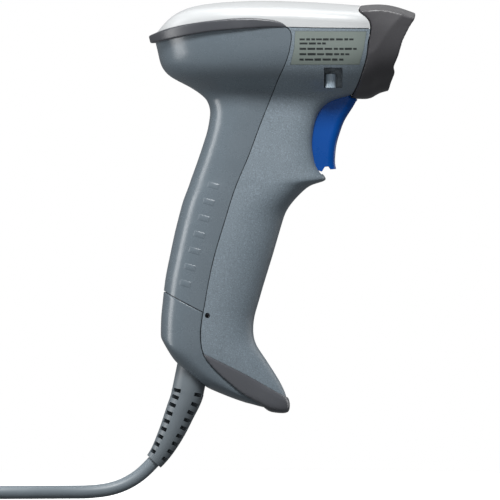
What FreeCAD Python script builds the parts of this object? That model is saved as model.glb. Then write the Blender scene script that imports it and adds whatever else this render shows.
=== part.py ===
import FreeCAD, Part
import math
import os
from FreeCAD import Placement, Rotation, Vector

# A handheld barcode scanner held upright by its pistol grip. +X is forward, towards the scan window,
# +Z is up, and the origin is the middle of the hand grip. Millimetres.

# ------------------------------------------------------------------ shell sizes
WALL = 2.4            # moulded wall
SEAM = 0.35           # groove between two shells
BED = 1.0             # depth of the beds that the rubber bumpers and the label lie in
FIT_GAP = 0.12        # gap round a piece that lies in a bed
ROOF_ROUND = 6.0      # rounding between the roof and the side walls
REACH = 60.0          # half width of every cutter that runs right across the body

# Horizontal sections of the handle and the head:
# height, rear x, front x, half width, squareness of the rear, squareness of the front, and where
# along the length the section is widest, as a share ahead of the rear.
STATIONS = [
    (-84.0, -29.0, 29.6, 11.0, 2.60, 2.3, 0.40),
    (-74.3, -30.0, 29.0, 12.4, 2.60, 2.3, 0.40),
    (-69.6, -30.2, 27.3, 13.2, 2.60, 2.3, 0.40),
    (-62.0, -30.3, 23.0, 14.6, 2.70, 2.3, 0.40),
    (-54.5, -30.3, 18.1, 15.8, 2.80, 2.3, 0.42),
    (-48.9, -30.3, 14.6, 16.4, 2.80, 2.3, 0.44),
    (-43.2, -30.2, 13.3, 16.8, 2.80, 2.3, 0.45),
    (-37.6, -30.1, 13.6, 17.0, 2.80, 2.3, 0.45),
    (-30.1, -29.4, 15.5, 17.3, 2.80, 2.3, 0.45),
    (-18.8, -28.1, 18.8, 17.7, 2.80, 2.3, 0.45),
    (-7.5, -25.9, 22.3, 18.0, 2.80, 2.3, 0.45),
    (3.8, -23.5, 25.6, 18.2, 2.80, 2.3, 0.45),
    (13.2, -21.1, 28.7, 18.2, 2.80, 2.5, 0.45),
    (18.3, -19.7, 32.2, 18.1, 2.80, 2.9, 0.44),
    (23.0, -17.9, 36.7, 18.0, 2.80, 3.5, 0.43),
    (26.3, -16.7, 42.0, 17.9, 2.80, 4.2, 0.42),
    (28.4, -16.0, 47.2, 17.9, 2.80, 4.6, 0.41),
    (32.0, -14.7, 45.0, 17.8, 2.80, 5.0, 0.42),
    (37.6, -12.7, 42.4, 17.6, 2.80, 5.0, 0.44),
    (45.1, -10.2, 41.5, 17.2, 2.80, 5.0, 0.45),
    (52.6, -8.0, 42.3, 16.9, 2.80, 5.0, 0.45),
    (60.2, -7.0, 45.1, 16.7, 2.70, 5.0, 0.45),
    (64.4, -8.0, 49.4, 16.8, 2.60, 5.0, 0.47),
    (67.2, -10.0, 57.3, 17.6, 2.50, 4.6, 0.50),
    (70.0, -13.6, 66.3, 20.0, 2.40, 4.2, 0.54),
    (72.9, -18.5, 71.9, 24.6, 2.35, 4.0, 0.56),
    (77.1, -26.0, 74.7, 30.4, 2.30, 4.0, 0.58),
    (81.8, -29.8, 76.1, 34.2, 2.30, 4.4, 0.58),
    (89.3, -31.8, 77.6, 36.8, 2.30, 5.0, 0.58),
    (99.6, -33.8, 78.5, 37.6, 2.30, 5.0, 0.58),
    (118.0, -32.0, 78.5, 36.4, 2.30, 5.0, 0.58),
]
SECTION_POINTS = 48
LEVEL_PITCH = 5.0

# Side profiles of the roof and of the butt, as (x, z), and how far each falls away to the side, as
# (y, height) from the middle outwards.
ROOF = [(-48, 84), (-36.5, 92.5), (-31.1, 98.6), (-26.6, 103.6), (-22.0, 106.9), (-16.5, 109.2),
        (-8, 110.9), (4, 112.0), (18.8, 112.4), (38.5, 111.8), (54, 110.9), (70, 109.6), (95, 107)]
ROOF_FALL = [(0, 0), (15, -0.65), (30, -2.6), (45, -5.9), (60, -10.4)]
BUTT = [(-42, -25), (-35, -36.5), (-30.6, -45.1), (-27.2, -51.3), (-23.5, -56.7), (-18.3, -61.7),
        (-13.7, -65.6), (-9, -68.9), (-2.4, -72.0), (4.8, -74.8), (11.4, -77.0), (18, -78.9),
        (24, -79.9), (30, -80.3), (50, -80.6), (100, -81)]
BUTT_FALL = [(0, 0), (5, 0.25), (9, 1.2), (12, 2.9), (14.5, 6.0), (16.5, 11.0), (18.5, 18.0),
             (22, 28.0), (30, 38.0), (60, 50.0)]

# Parting lines between the shells, seen from the side.
COVER_LINE = [(-50, 93.5), (-40, 94.5), (-21.2, 97.1), (-2.4, 99.0), (16.5, 99.6), (28.1, 99.5),
              (45, 99.1), (67.8, 98.9), (82, 98.7)]
HALVES_LINE = [(28.1, 99.5), (30.1, 98.3), (31.0, 96.3), (30.9, 92.9), (30.1, 88.3), (28.1, 82.1),
               (25.2, 75.8), (22.4, 68.9), (19.0, 60.4), (15.0, 50.1), (11.3, 40.0), (5.0, 24.9),
               (0.0, 9.2), (-4.4, -5.3), (-7.6, -19.1), (-9.8, -31.7), (-11.3, -42.3),
               (-11.3, -47.1), (-9.7, -54.1), (0.0, -62.0), (14.1, -71.4), (25.9, -77.1),
               (45.0, -84.0)]
HEEL_LINE = [(-45, -15.0), (-35.3, -20.2), (-27.4, -24.7), (-18.3, -29.7), (-10.2, -33.9)]
NOSE_LINE = [(57.0, 61.5), (59.0, 66.6), (62.3, 73.3), (64.6, 79.9), (66.3, 86.5), (67.1, 93.1),
             (68.1, 98.7), (67.6, 101.9), (66.3, 103.9), (63.9, 105.8), (62.6, 107.6),
             (62.9, 109.3), (65.2, 110.9), (70.0, 113.5)]

# ------------------------------------------------------------------ bumpers and label
BAND_TOP = [(-48, 95.2), (-34, 96.4), (-30.6, 97.7), (-23.7, 99.7), (-12.3, 101.7), (-0.9, 103.0),
            (10.3, 103.6), (18.8, 103.1), (24.0, 102.3), (27.0, 101.1), (28.6, 99.8)]
BAND_BOTTOM = [(-48, 91.9), (-34.8, 92.6), (-30.6, 93.2), (-20.9, 95.1), (-9.5, 97.2), (1.9, 98.3),
               (13.2, 99.1), (28.6, 99.5)]
BAND_PROUD = 2.3      # how far the band stands out round the rear of the head
BAND_TIP_PROUD = 0.3  # and at its two front tips
BAND_TIP_X = 28.6
TOE_TOP = [(-10.3, -53.3), (1.5, -59.0), (14.7, -65.9), (25.2, -71.9), (31.0, -74.7), (42, -79.5)]
TOE_BOTTOM = [(-10.3, -53.7), (-3.8, -61.7), (2.8, -67.6), (11.4, -74.2), (17.4, -77.6),
              (21.2, -80.8), (26, -88)]
TOE_PROUD = 0.9
LABEL = [(32.9, 97.6), (66.2, 97.4), (64.9, 89.5), (62.9, 82.0), (30.7, 82.0), (32.5, 90.0)]

# ------------------------------------------------------------------ nose
# height, half width at the parting line, half width at the rim, x of the rim
NOSE_STATIONS = [
    (60.0, 34.2, 36.0, 76.5),
    (72.0, 34.4, 36.4, 78.5),
    (82.0, 34.6, 36.8, 80.0),
    (88.0, 34.8, 37.3, 81.6),
    (95.0, 35.4, 38.6, 84.2),
    (100.0, 35.6, 39.3, 86.8),
    (106.0, 35.3, 39.5, 89.2),
    (114.0, 34.6, 39.2, 92.0),
]
NOSE_BACK_X = 52.0
NOSE_WAIST_X = 62.0   # the sides draw in ahead of this and then flare to the rim
NOSE_WAIST = 5.0
NOSE_RIM = [(75.6, 66.0), (76.8, 70.3), (77.8, 73.9), (79.1, 77.2), (79.4, 79.1), (79.0, 80.5),
            (79.3, 82.1), (80.7, 85.4), (82.1, 89.8), (83.7, 94.3), (85.1, 97.0), (87.0, 100.6),
            (88.7, 103.6), (89.3, 106.0), (90.6, 112.0)]
NOSE_UNDERSIDE = [(40, 68.5), (57.0, 66.8), (62.3, 66.0), (66.3, 66.4), (68.9, 67.0), (70.5, 67.9),
                  (72.5, 69.0), (75.2, 69.9), (78.5, 70.5), (95, 73.5)]
NOSE_TOP = [(50, 109.0), (63.3, 110.0), (70.5, 110.6), (77.1, 110.2), (83.7, 108.5),
            (89.3, 106.5), (100, 102.5)]
NOSE_TOP_FALL = [(0, 0), (18, -0.8), (36, -3.2), (50, -6.2)]
NOSE_UNDER_FALL = [(0, 0), (9, 0.2), (13, 1.2), (16.8, 3.5), (22.3, 6.6), (27.8, 10.6), (31.7, 15.4),
                   (34.5, 22.5), (36.5, 32), (40, 48), (50, 80)]
NOSE_WALL = 2.6
WINDOW_FOOT = Vector(72.4, 0, 84.0)       # lower edge of the window's outer face
WINDOW_TILT = 13.9                        # degrees the window leans forward
WINDOW_HEIGHT = 17.5
WINDOW_THICK = 2.0
GASKET_THICK = 0.7
LEDGE_THICK = 2.0
LEDGE_WIDTH = 2.8

# ------------------------------------------------------------------ trigger and switch
PIVOT = Vector(54.0, 0, 72.5)
PIVOT_PIN_R = 1.45
PIVOT_BORE_R = 1.50
HUB_R = 3.4
TRIGGER_HALF = 10.5
SLOT_HALF = 11.3
TRIGGER_FRONT = [(61.6, 65.2), (59.3, 61.2), (56.2, 56.2), (54.0, 50.5), (52.4, 44.8),
                 (51.8, 39.8), (51.7, 36.4), (52.2, 33.4)]
TRIGGER_ROUND = 4.0
SLOT_BOTTOM_Z = 30.9
SLOT_TOP_Z = 69.6
NUB = Vector(39.6, 0, 48.0)               # centre of the rounded nub that pushes the switch
NUB_R = 3.0
SWITCH_FRONT_X = 33.2
SWITCH_BACK_X = 26.0
PLUNGER_R = 1.5
PLUNGER_TIP_X = 36.3
PLUNGER_LENGTH = 5.3
SWITCH_Z = 49.0
SPRING_X = (36.6, 44.0)
SPRING_Z = 60.0
SPRING_R = 2.2
SPRING_WIRE_R = 0.35

# ------------------------------------------------------------------ inner frame and boards
TRAY_Z = 82.1
TRAY_THICK = 2.0
BOARD_Z = 95.0
BOARD_THICK = 1.6
STANDOFFS = [(-12.0, -19.0), (-12.0, 19.0), (40.0, -19.0), (40.0, 19.0)]
SCREW_R = 1.25
COVER_SCREWS = [(59.0, -18.6), (59.0, 18.6)]
COVER_BOSS_R = 3.2
ENGINE_X = (51.0, 65.0)
ENGINE_Z = (84.6, 98.0)
ENGINE_HALF = 13.5
ENGINE_SCREWS = [(54.0, -11.6), (54.0, 11.6)]
LENS_Y = -4.0
LED_Y = 10.0
AIMER_Y = 4.0
OPTICS_Z = 91.5

# ------------------------------------------------------------------ cable exit, jack and latch
EXIT = Vector(-15.8, 0, -63.0)            # where the cable leaves the butt
EXIT_TILT = 11.5                          # degrees the cable's axis leans forward, going up
NECK_R = 7.5
COLLAR_R = 9.3
COLLAR = (8.4, 10.9)                      # heights along the cable's axis, above the exit
PLUG = (25.5, 47.0)
PLUG_HALF = (5.85, 3.9)
JACK = (31.0, 51.0)
LATCH = (27.0, 45.5)
LATCH_HALF = 3.0
RELEASE_HOLE = Vector(-8.2, 0, -35.4)
RELEASE_R = 1.2
LANYARD = (46.4, 55.0, 71.3, 80.6)        # the pocket's x and z limits
LANYARD_DEPTH_Y = -19.0
LANYARD_POST_R = 2.4

# The strain relief's line below the neck, and its diameter at each point.
RELIEF_LINE = [((-17.5, -71.4), 15.2), ((-20.4, -79.3), 14.0), ((-23.7, -87.3), 12.7),
               ((-27.2, -94.6), 11.2), ((-31.2, -101.3), 9.4), ((-33.4, -104.0), 8.7)]
RELIEF_ROWS = 9
RELIEF_PITCH = 4.05
RELIEF_FIRST = 0.3
SLOT_SIZE = (5.0, 1.75, 4.6)              # round the relief, along it, and in from its surface

# ------------------------------------------------------------------ cable
CORD_R = 3.1
FLOOR_Z = -121.5                          # the surface that the cable lies on
LAY_Z = FLOOR_Z + CORD_R
TIE_THICK = 0.9
CORD_ROUTE = [(-33.4, 0, -104.0), (-37.83, 0, -108.75), (-43.02, -0.13, -112.66),
              (-48.81, -0.53, -115.61), (-55.4, -1.19, -117.5), (-64.0, -2.5, LAY_Z),
              (-76.0, -5.5, LAY_Z), (-91.0, -10.9, LAY_Z), (-108.0, -15.0, LAY_Z),
              (-126.0, -16.5, LAY_Z), (-144.0, -16.4, LAY_Z)]
COIL_CENTRE = (-160.0, 30.5)
COIL_RINGS = 4
COIL_LAYERS = 2
COIL_INNER = 27.9                         # radius of the innermost ring's middle line
CORD_D = 2 * CORD_R
COIL_BASE_Z = FLOOR_Z + TIE_THICK + 0.1
TOP_LAYER_Z = COIL_BASE_Z + CORD_R + CORD_D
COIL_OUTER = COIL_INNER + (COIL_RINGS - 1) * CORD_D
TIE_TURNS = (20, 92)                      # where the straps are, in degrees from +X
# The far end rises off the coil's top layer and turns in over it. Measured from the coil's
# centre, with heights above the top layer's middle line.
TAIL_FROM_COIL = [(16.6, -44.0, 0), (3.0, -46.9, 0.4), (-9.97, -46.5, 1.8), (-19.16, -42.69, 4.2),
                  (-26.19, -35.66, 6.4), (-30.0, -26.47, 7.5), (-30.0, -16.0, 7.5)]
TAIL_ROUTE = [(COIL_CENTRE[0] + x, COIL_CENTRE[1] + y, TOP_LAYER_Z + z) for x, y, z in TAIL_FROM_COIL]


# ------------------------------------------------------------------ helpers
def smooth(points):
    """A curve through points."""
    curve = Part.BSplineCurve()
    curve.interpolate(points)
    return curve


def in_side_view(points):
    return [Vector(x, 0, z) for x, z in points]


def across(face, half=REACH):
    """The solid that a face in the side view sweeps from y = -half to y = half."""
    moved = face.copy()
    moved.translate(Vector(0, -half, 0))
    return moved.extrude(Vector(0, 2 * half, 0))


def polygon(points, half=REACH):
    corners = in_side_view(points)
    return across(Part.Face(Part.makePolygon(corners + corners[:1])), half)


def block(x, y, z):
    """A box from its limits along each axis."""
    return Part.makeBox(x[1] - x[0], y[1] - y[0], z[1] - z[0], Vector(x[0], y[0], z[0]))


def rod(start, direction, length, radius):
    return Part.makeCylinder(radius, length, start, direction)


def between(upper, lower):
    """The solid between two smooth side-view curves that start and end near each other."""
    top = smooth(in_side_view(upper))
    bottom = smooth(in_side_view(lower))
    edges = [top.toShape(), Part.makeLine(top.EndPoint, bottom.EndPoint), bottom.toShape(),
             Part.makeLine(bottom.StartPoint, top.StartPoint)]
    return across(Part.Face(Part.Wire(Part.__sortEdges__(edges))))


def strip(line, width=SEAM, shift=0.0):
    """A thin curtain of the given width that follows a side-view curve."""
    curve = smooth(in_side_view(line))
    first = curve.FirstParameter
    last = curve.LastParameter
    count = 3 * len(line)
    sides = []
    for side in (shift - width / 2, shift + width / 2):
        points = []
        for i in range(count + 1):
            u = first + (last - first) * i / count
            tangent = curve.tangent(u)[0]
            points.append(curve.value(u) + Vector(-tangent.z, 0, tangent.x) * side)
        sides.append(smooth(points))
    ends = [Part.makeLine(sides[0].EndPoint, sides[1].EndPoint),
            Part.makeLine(sides[1].StartPoint, sides[0].StartPoint)]
    edges = [sides[0].toShape(), ends[0], sides[1].toShape(), ends[1]]
    return across(Part.Face(Part.Wire(Part.__sortEdges__(edges))))


def monotone(xs, ys, x):
    """Value at x of a smooth curve through (xs, ys) that doesn't overshoot."""
    steps = [b - a for a, b in zip(xs, xs[1:])]
    slopes = [(b - a) / h for a, b, h in zip(ys, ys[1:], steps)]
    tangents = [slopes[0]] + [0.0] * (len(xs) - 2) + [slopes[-1]]
    for i in range(1, len(xs) - 1):
        if slopes[i - 1] * slopes[i] > 0:
            before = 2 * steps[i] + steps[i - 1]
            after = steps[i] + 2 * steps[i - 1]
            tangents[i] = (before + after) / (before / slopes[i - 1] + after / slopes[i])
    i = max(0, min(len(xs) - 2, sum(1 for v in xs[1:-1] if x >= v)))
    t = (x - xs[i]) / steps[i]
    rise = t * t * (3 - 2 * t)
    bend = t * (1 - t) * steps[i]
    return ys[i] + rise * (ys[i + 1] - ys[i]) + bend * ((1 - t) * tangents[i] - t * tangents[i + 1])


def place(shape, origin, tilt):
    """Move a shape from a frame whose +Z runs up the cable's axis to the scanner's frame."""
    moved = shape.copy()
    moved.Placement = Placement(origin, Rotation(Vector(0, 1, 0), tilt)).multiply(shape.Placement)
    return moved


def one(shape):
    """The largest solid of a shape, cleaned of the slivers that a cut can leave."""
    return max(shape.Solids, key=lambda solid: solid.Volume)


def save(node, shape):
    shape.exportStep("parts/" + node + ".step")
    print(node, len(shape.Solids), "solids", round(shape.Volume, 1), "mm3 valid", shape.isValid())


# ------------------------------------------------------------------ skin of the handle and head
HEIGHTS = [row[0] for row in STATIONS]


def station(z):
    return [monotone(HEIGHTS, [row[k] for row in STATIONS], z) for k in range(1, 7)]


def section(z, offset):
    """Points of one horizontal section, a stretched circle whose two ends differ in squareness."""
    rear, front, width, rear_square, front_square, share = station(z)
    rear -= offset
    front += offset
    width += offset
    middle = rear + (front - rear) * share
    points = []
    for i in range(SECTION_POINTS):
        turn = 2 * math.pi * i / SECTION_POINTS
        ahead = math.cos(turn) >= 0
        reach = front - middle if ahead else middle - rear
        power = front_square if ahead else rear_square
        dx = reach * math.cos(turn)
        dy = width * math.sin(turn)
        stretch = (abs(dx / reach) ** power + abs(dy / width) ** power) ** (-1 / power)
        points.append(Vector(middle + dx * stretch, dy * stretch, z))
    return points


def closed_wire(points):
    curve = Part.BSplineCurve()
    spread = [i / len(points) for i in range(len(points) + 1)]
    curve.interpolate(Points=points, PeriodicFlag=True, Parameters=spread)
    return Part.Wire([curve.toShape()])


def levels(low, high):
    """The stations' heights, with more between them where they are far apart."""
    out = []
    inside = [z for z in HEIGHTS if low <= z <= high]
    for a, b in zip(inside, inside[1:]):
        count = max(1, round((b - a) / LEVEL_PITCH))
        out += [a + (b - a) * i / count for i in range(count)]
    return out + [inside[-1]]


def walls(offset):
    wires = [closed_wire(section(z, offset)) for z in levels(HEIGHTS[0], HEIGHTS[-1])]
    return Part.makeLoft(wires, True, False, False, 5)


def beyond(profile, fall, offset, height):
    """The block under or over a surface with the given side profile and the given fall to the sides."""
    base = smooth(in_side_view(profile))
    right = [Vector(0, y, z) for y, z in fall]
    left = [Vector(0, -y, z) for y, z in fall[:0:-1]]
    rib = smooth(left + right)
    rows = [[pole + foot + Vector(0, 0, offset) for pole in base.getPoles()] for foot in rib.getPoles()]
    surface = Part.BSplineSurface()
    surface.buildFromPolesMultsKnots(rows, rib.getMultiplicities(), base.getMultiplicities(),
                                     rib.getKnots(), base.getKnots(), False, False,
                                     rib.Degree, base.Degree)
    return surface.toShape().extrude(Vector(0, 0, height))


def rim_edges(body, low, high):
    return [e for e in body.Edges if e.BoundBox.ZMin > low and e.BoundBox.ZMax < high]


def skin(offset):
    """The whole handle and head as one solid, with its surface moved out by offset."""
    body = walls(offset).common(beyond(ROOF, ROOF_FALL, offset, -260))
    body = one(body.common(beyond(BUTT, BUTT_FALL, -offset, 260)))
    return one(body.makeFillet(ROOF_ROUND + offset, rim_edges(body, 80, 130)))


def band_walls():
    """Walls round the head that stand proud at the rear and come flush at the band's tips."""
    wires = []
    for z in levels(81.8, 118.0):
        flush = section(z, BAND_TIP_PROUD)
        proud = section(z, BAND_PROUD)
        points = []
        for a, b in zip(flush, proud):
            share = min(1.0, max(0.0, (BAND_TIP_X - a.x) / 42.0))
            points.append(a + (b - a) * (share * (2 - share)))
        wires.append(closed_wire(points))
    return Part.makeLoft(wires, True, False, False, 5)


# ------------------------------------------------------------------ nose
def nose_walls(offset):
    """The flared walls of the nose, wider at the rim than at the parting line."""
    heights = [row[0] for row in NOSE_STATIONS]
    wires = []
    for z in heights:
        split, rim, rim_x = [monotone(heights, [row[k] for row in NOSE_STATIONS], z) for k in (1, 2, 3)]
        front_x = rim_x + 3.0
        sides = {}
        for side in (-1, 1):
            points = []
            for i in range(7):
                x = NOSE_BACK_X + (front_x - NOSE_BACK_X) * i / 6
                q = (x - NOSE_WAIST_X) / (rim_x - NOSE_WAIST_X)
                y = split + (rim - split) * q * abs(q) - NOSE_WAIST * q * (1 - q) + offset
                points.append(Vector(x, side * y, z))
            sides[side] = smooth(points)
        left, right = sides[-1], sides[1]
        wires.append(Part.Wire([left.toShape(), Part.makeLine(left.EndPoint, right.EndPoint),
                                right.toShape(), Part.makeLine(right.StartPoint, left.StartPoint)]))
    return one(Part.makeLoft(wires, True, False, False, 5))


def window_frame():
    tilt = math.radians(WINDOW_TILT)
    up = Vector(math.sin(tilt), 0, math.cos(tilt))
    out = Vector(math.cos(tilt), 0, -math.sin(tilt))
    return up, out


def window_slab(low, high, back, front):
    """A slab parallel to the window: low and high along it, back and front across it."""
    up, out = window_frame()
    corners = [WINDOW_FOOT + up * v + out * n
               for v, n in ((low, back), (high, back), (high, front), (low, front))]
    return polygon([(p.x, p.z) for p in corners])


def nose_shape():
    """The outer shape of the nose: flared walls, crowned top, stepped rim and rounded underside."""
    back = smooth(in_side_view([(x + SEAM, z) for x, z in NOSE_LINE[1:]]))
    rim = smooth(in_side_view(NOSE_RIM))
    edges = [back.toShape(), Part.makeLine(back.EndPoint, rim.EndPoint), rim.toShape(),
             Part.makeLine(rim.StartPoint, back.StartPoint)]
    profile = across(Part.Face(Part.Wire(Part.__sortEdges__(edges))))
    shape = nose_walls(0.0).common(profile)
    shape = shape.common(beyond(NOSE_TOP, NOSE_TOP_FALL, 0.0, -80))
    return one(shape.common(beyond(NOSE_UNDERSIDE, NOSE_UNDER_FALL, 0.0, 80)))


def nose_parts():
    outer = nose_shape()
    seat = -(WINDOW_THICK + GASKET_THICK + 0.2)
    recess = window_slab(0.0, WINDOW_HEIGHT, seat, 4.0)
    up, out = window_frame()
    foot = WINDOW_FOOT
    head = WINDOW_FOOT + up * WINDOW_HEIGHT
    mouth = polygon([(foot.x, foot.z), (head.x, head.z), (100.0, head.z + 2.4), (100.0, foot.z - 4.0)])
    inside = nose_walls(-NOSE_WALL).common(beyond(NOSE_UNDERSIDE, NOSE_UNDER_FALL, NOSE_WALL, 80))
    opening = inside.common(recess.fuse(mouth))
    aperture = nose_walls(-NOSE_WALL - LEDGE_WIDTH)
    aperture = aperture.common(window_slab(LEDGE_WIDTH, WINDOW_HEIGHT - LEDGE_WIDTH, -12.0, 1.0))
    ledge_back = seat - LEDGE_THICK
    low = foot + up * -12.5 + out * ledge_back
    high = foot + up * 20.4 + out * ledge_back
    behind = inside.common(polygon([(50.0, 70.0), (low.x, low.z), (high.x, high.z), (50.0, high.z)]))
    chin = inside.common(polygon([(50.0, 69.2), (67.0, 69.4), (73.6, 72.8), (75.6, 77.2),
                                  (75.4, 80.4), (64.5, 82.0), (50.0, 82.0)]))
    bezel = one(outer.cut([opening, aperture, behind, chin]))

    snug = nose_walls(-NOSE_WALL - 0.1)
    snug = snug.common(beyond(NOSE_UNDERSIDE, NOSE_UNDER_FALL, NOSE_WALL + 0.1, 80))
    window = snug.common(window_slab(0.1, WINDOW_HEIGHT - 0.1, -WINDOW_THICK - 0.1, -0.1))
    ring_back = -WINDOW_THICK - GASKET_THICK - 0.15
    ring = snug.common(window_slab(0.1, WINDOW_HEIGHT - 0.1, ring_back, -WINDOW_THICK - 0.15))
    gasket = ring.cut(aperture)
    return bezel, window, gasket


# ------------------------------------------------------------------ shells, bumpers and label
def label_region(gap=0.0):
    corners = in_side_view(LABEL)
    wire = Part.makePolygon(corners + corners[:1])
    face = Part.Face(wire)
    if gap:
        face = Part.Face(face.makeOffset2D(gap).Wires[0])
    moved = face.copy()
    moved.translate(Vector(0, -REACH, 0))
    return moved.extrude(Vector(0, REACH, 0))


def shell_parts():
    outer = skin(0.0)
    inner = skin(-WALL)
    bed = skin(-BED)
    band = between(BAND_TOP, BAND_BOTTOM)
    toe = between(TOE_TOP, TOE_BOTTOM)
    wide_band = between([(x, z + FIT_GAP) for x, z in BAND_TOP], [(x, z - FIT_GAP) for x, z in BAND_BOTTOM])
    wide_toe = between([(x, z + FIT_GAP) for x, z in TOE_TOP], [(x, z - FIT_GAP) for x, z in TOE_BOTTOM])
    beds = [region.cut(bed) for region in (wide_band, wide_toe, label_region(FIT_GAP))]
    seams = [strip(line) for line in (COVER_LINE, HALVES_LINE, HEEL_LINE, NOSE_LINE)]
    pieces = outer.cut(beds).cut([inner] + seams).Solids
    big = sorted(pieces, key=lambda solid: -solid.Volume)[:5]
    top = max(big, key=lambda solid: solid.BoundBox.ZMax + solid.BoundBox.XLength)
    rest = [solid for solid in big if solid.BoundBox.XMin < 50 and not solid.isSame(top)]
    heel = min(rest, key=lambda solid: solid.BoundBox.ZMax)
    rest = [solid for solid in rest if not solid.isSame(heel)]
    rear = min(rest, key=lambda solid: solid.BoundBox.XMin)
    front = max(rest, key=lambda solid: solid.BoundBox.XMax)
    bumper = one(band_walls().common(band).cut(bed))
    toe_cap = one(skin(TOE_PROUD).common(toe).cut(bed))
    label = one(outer.cut(bed).common(label_region()))
    return outer, inner, top, rear, front, heel, bumper, toe_cap, label


def finish_front(front, inner):
    """The front housing with its trigger slot, release hole, lanyard pocket and screw boss."""
    boss = rod(Vector(15.0, 0, -67.5), Vector(0, 0, 1), 16.0, 4.2).common(inner)
    x0, x1, z0, z1 = LANYARD
    room = 1.2
    cup = block((x0 - room, x1 + room), (-REACH, LANYARD_DEPTH_Y + room), (z0 - room, z1 + room))
    cup = cup.common(inner)
    body = front.fuse([boss, cup])
    slot = block((36.0, 63.0), (-SLOT_HALF, SLOT_HALF), (SLOT_BOTTOM_Z, SLOT_TOP_Z))
    hole = rod(RELEASE_HOLE - Vector(0, REACH, 0), Vector(0, 1, 0), REACH, RELEASE_R)
    pocket = block((x0, x1), (-REACH, LANYARD_DEPTH_Y), (z0, z1))
    thread = rod(Vector(15.0, 0, -69.0), Vector(0, 0, 1), 14.0, SCREW_R + 0.05)
    return one(body.cut([slot, hole, pocket, thread]))


def finish_top(top, inner, light_hole):
    """The top cover with the indicator's hole and two screw bosses that stand on the inner frame."""
    low = TRAY_Z + TRAY_THICK + 0.1
    bosses = [rod(p + Vector(0, 0, low), Vector(0, 0, 1), 30, COVER_BOSS_R).common(inner)
              for p in cover_screw_places()]
    threads = [rod(p + Vector(0, 0, low - 1), Vector(0, 0, 1), 12.0, SCREW_R) for p in cover_screw_places()]
    return one(top.fuse(bosses).cut(threads + [light_hole]))


def cover_screw_places():
    return [Vector(x, y, 0) for x, y in COVER_SCREWS]


def finish_heel(heel, inner):
    """The heel cover with the cable's hole and a screw boss that meets the front housing's."""
    boss = rod(Vector(15.0, 0, -80.0), Vector(0, 0, 1), 12.0, 4.2).common(inner)
    clear = strip(HALVES_LINE, 1.0)
    boss = boss.cut(clear)
    low = min(boss.Solids, key=lambda solid: solid.BoundBox.ZMin)
    cable = place(Part.makeCylinder(NECK_R + 0.3, 30, Vector(0, 0, -15)), EXIT, EXIT_TILT)
    shank = rod(Vector(15.0, 0, -85.0), Vector(0, 0, 1), 20.0, 1.5)
    counterbore = rod(Vector(15.0, 0, -85.0), Vector(0, 0, 1), 9.6, 2.9)
    return one(heel.fuse(low).cut([cable, shank, counterbore]))


def indicator():
    """The capsule-shaped light window in the top cover, and the hole it sits in."""
    def capsule(radius):
        ends = [rod(Vector(x, 0, 99.0), Vector(0, 0, 1), 20.0, radius) for x in (-12.0, -4.0)]
        return ends[0].fuse([ends[1], block((-12.0, -4.0), (-radius, radius), (99.0, 119.0))])
    return capsule(2.6), capsule(2.75)


# ------------------------------------------------------------------ trigger and switch
def trigger():
    front = smooth(in_side_view(TRIGGER_FRONT))
    hidden = in_side_view([(52.2, 33.4), (49.6, 33.2), (48.6, 34.6), (46.9, 34.4), (45.6, 32.2),
                           (43.4, 32.8), (40.4, 37.0), (40.0, 61.0), (44.0, 66.0), (50.4, 67.5),
                           (50.6, 72.5), (57.4, 72.5), (57.9, 66.9), (61.6, 65.2)])
    edges = [front.toShape()] + [Part.makeLine(a, b) for a, b in zip(hidden, hidden[1:])]
    body = across(Part.Face(Part.Wire(Part.__sortEdges__(edges))), TRIGGER_HALF)
    rim = [e for e in body.Edges if e.Length > 30 and e.BoundBox.YLength < 0.01
           and e.BoundBox.XMax > 60]
    body = body.makeFillet(TRIGGER_ROUND, rim)
    hub = rod(Vector(PIVOT.x, -TRIGGER_HALF, PIVOT.z), Vector(0, 1, 0), 2 * TRIGGER_HALF, HUB_R)
    hollow = block((38.0, 49.0), (-8.0, 8.0), (38.0, 54.0))
    spring_room = block((38.0, SPRING_X[1]), (-3.4, 3.4), (SPRING_Z - 3.4, SPRING_Z + 3.6))
    nub = rod(Vector(NUB.x, -2.5, NUB.z), Vector(0, 1, 0), 5.0, NUB_R)
    stem = block((NUB.x, 50.0), (-2.5, 2.5), (NUB.z - 2.2, NUB.z + 2.2))
    bore = rod(Vector(PIVOT.x, -20, PIVOT.z), Vector(0, 1, 0), 40, PIVOT_BORE_R)
    relief = block((48.0, 60.0), (-4.0, 4.0), (68.2, 78.0))
    return one(body.fuse(hub).cut([hollow, spring_room]).fuse([nub, stem]).cut([bore, relief]))


def helix_spring():
    """A compression spring with its axis along x, between the inner frame and the trigger."""
    length = SPRING_X[1] - SPRING_X[0] - 2 * SPRING_WIRE_R
    line = Part.makeHelix(length / 6, length, SPRING_R)
    ring = Part.Wire([Part.makeCircle(SPRING_WIRE_R, Vector(SPRING_R, 0, 0), Vector(0, 1, 0.1))])
    coil = Part.Wire(line).makePipeShell([ring], True, True)
    coil.Placement = Placement(Vector(SPRING_X[0] + SPRING_WIRE_R, 0, SPRING_Z),
                               Rotation(Vector(0, 1, 0), 90))
    return coil


def switch_parts():
    body = block((SWITCH_BACK_X, SWITCH_FRONT_X), (-6.4, 6.4), (SWITCH_Z - 3.3, SWITCH_Z + 3.3))
    bore_depth = PLUNGER_LENGTH + 0.1
    well = rod(Vector(SWITCH_FRONT_X - bore_depth, 0, SWITCH_Z), Vector(1, 0, 0), 10, PLUNGER_R + 0.15)
    plunger = rod(Vector(PLUNGER_TIP_X - PLUNGER_LENGTH, 0, SWITCH_Z), Vector(1, 0, 0),
                  PLUNGER_LENGTH, PLUNGER_R)
    plunger = plunger.makeFillet(0.4, [e for e in plunger.Edges if e.BoundBox.XMin > 36])
    board = block((SWITCH_BACK_X - BOARD_THICK, SWITCH_BACK_X), (-11.5, 11.5), (38.0, 68.0))
    return body.cut(well), plunger, board


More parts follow.
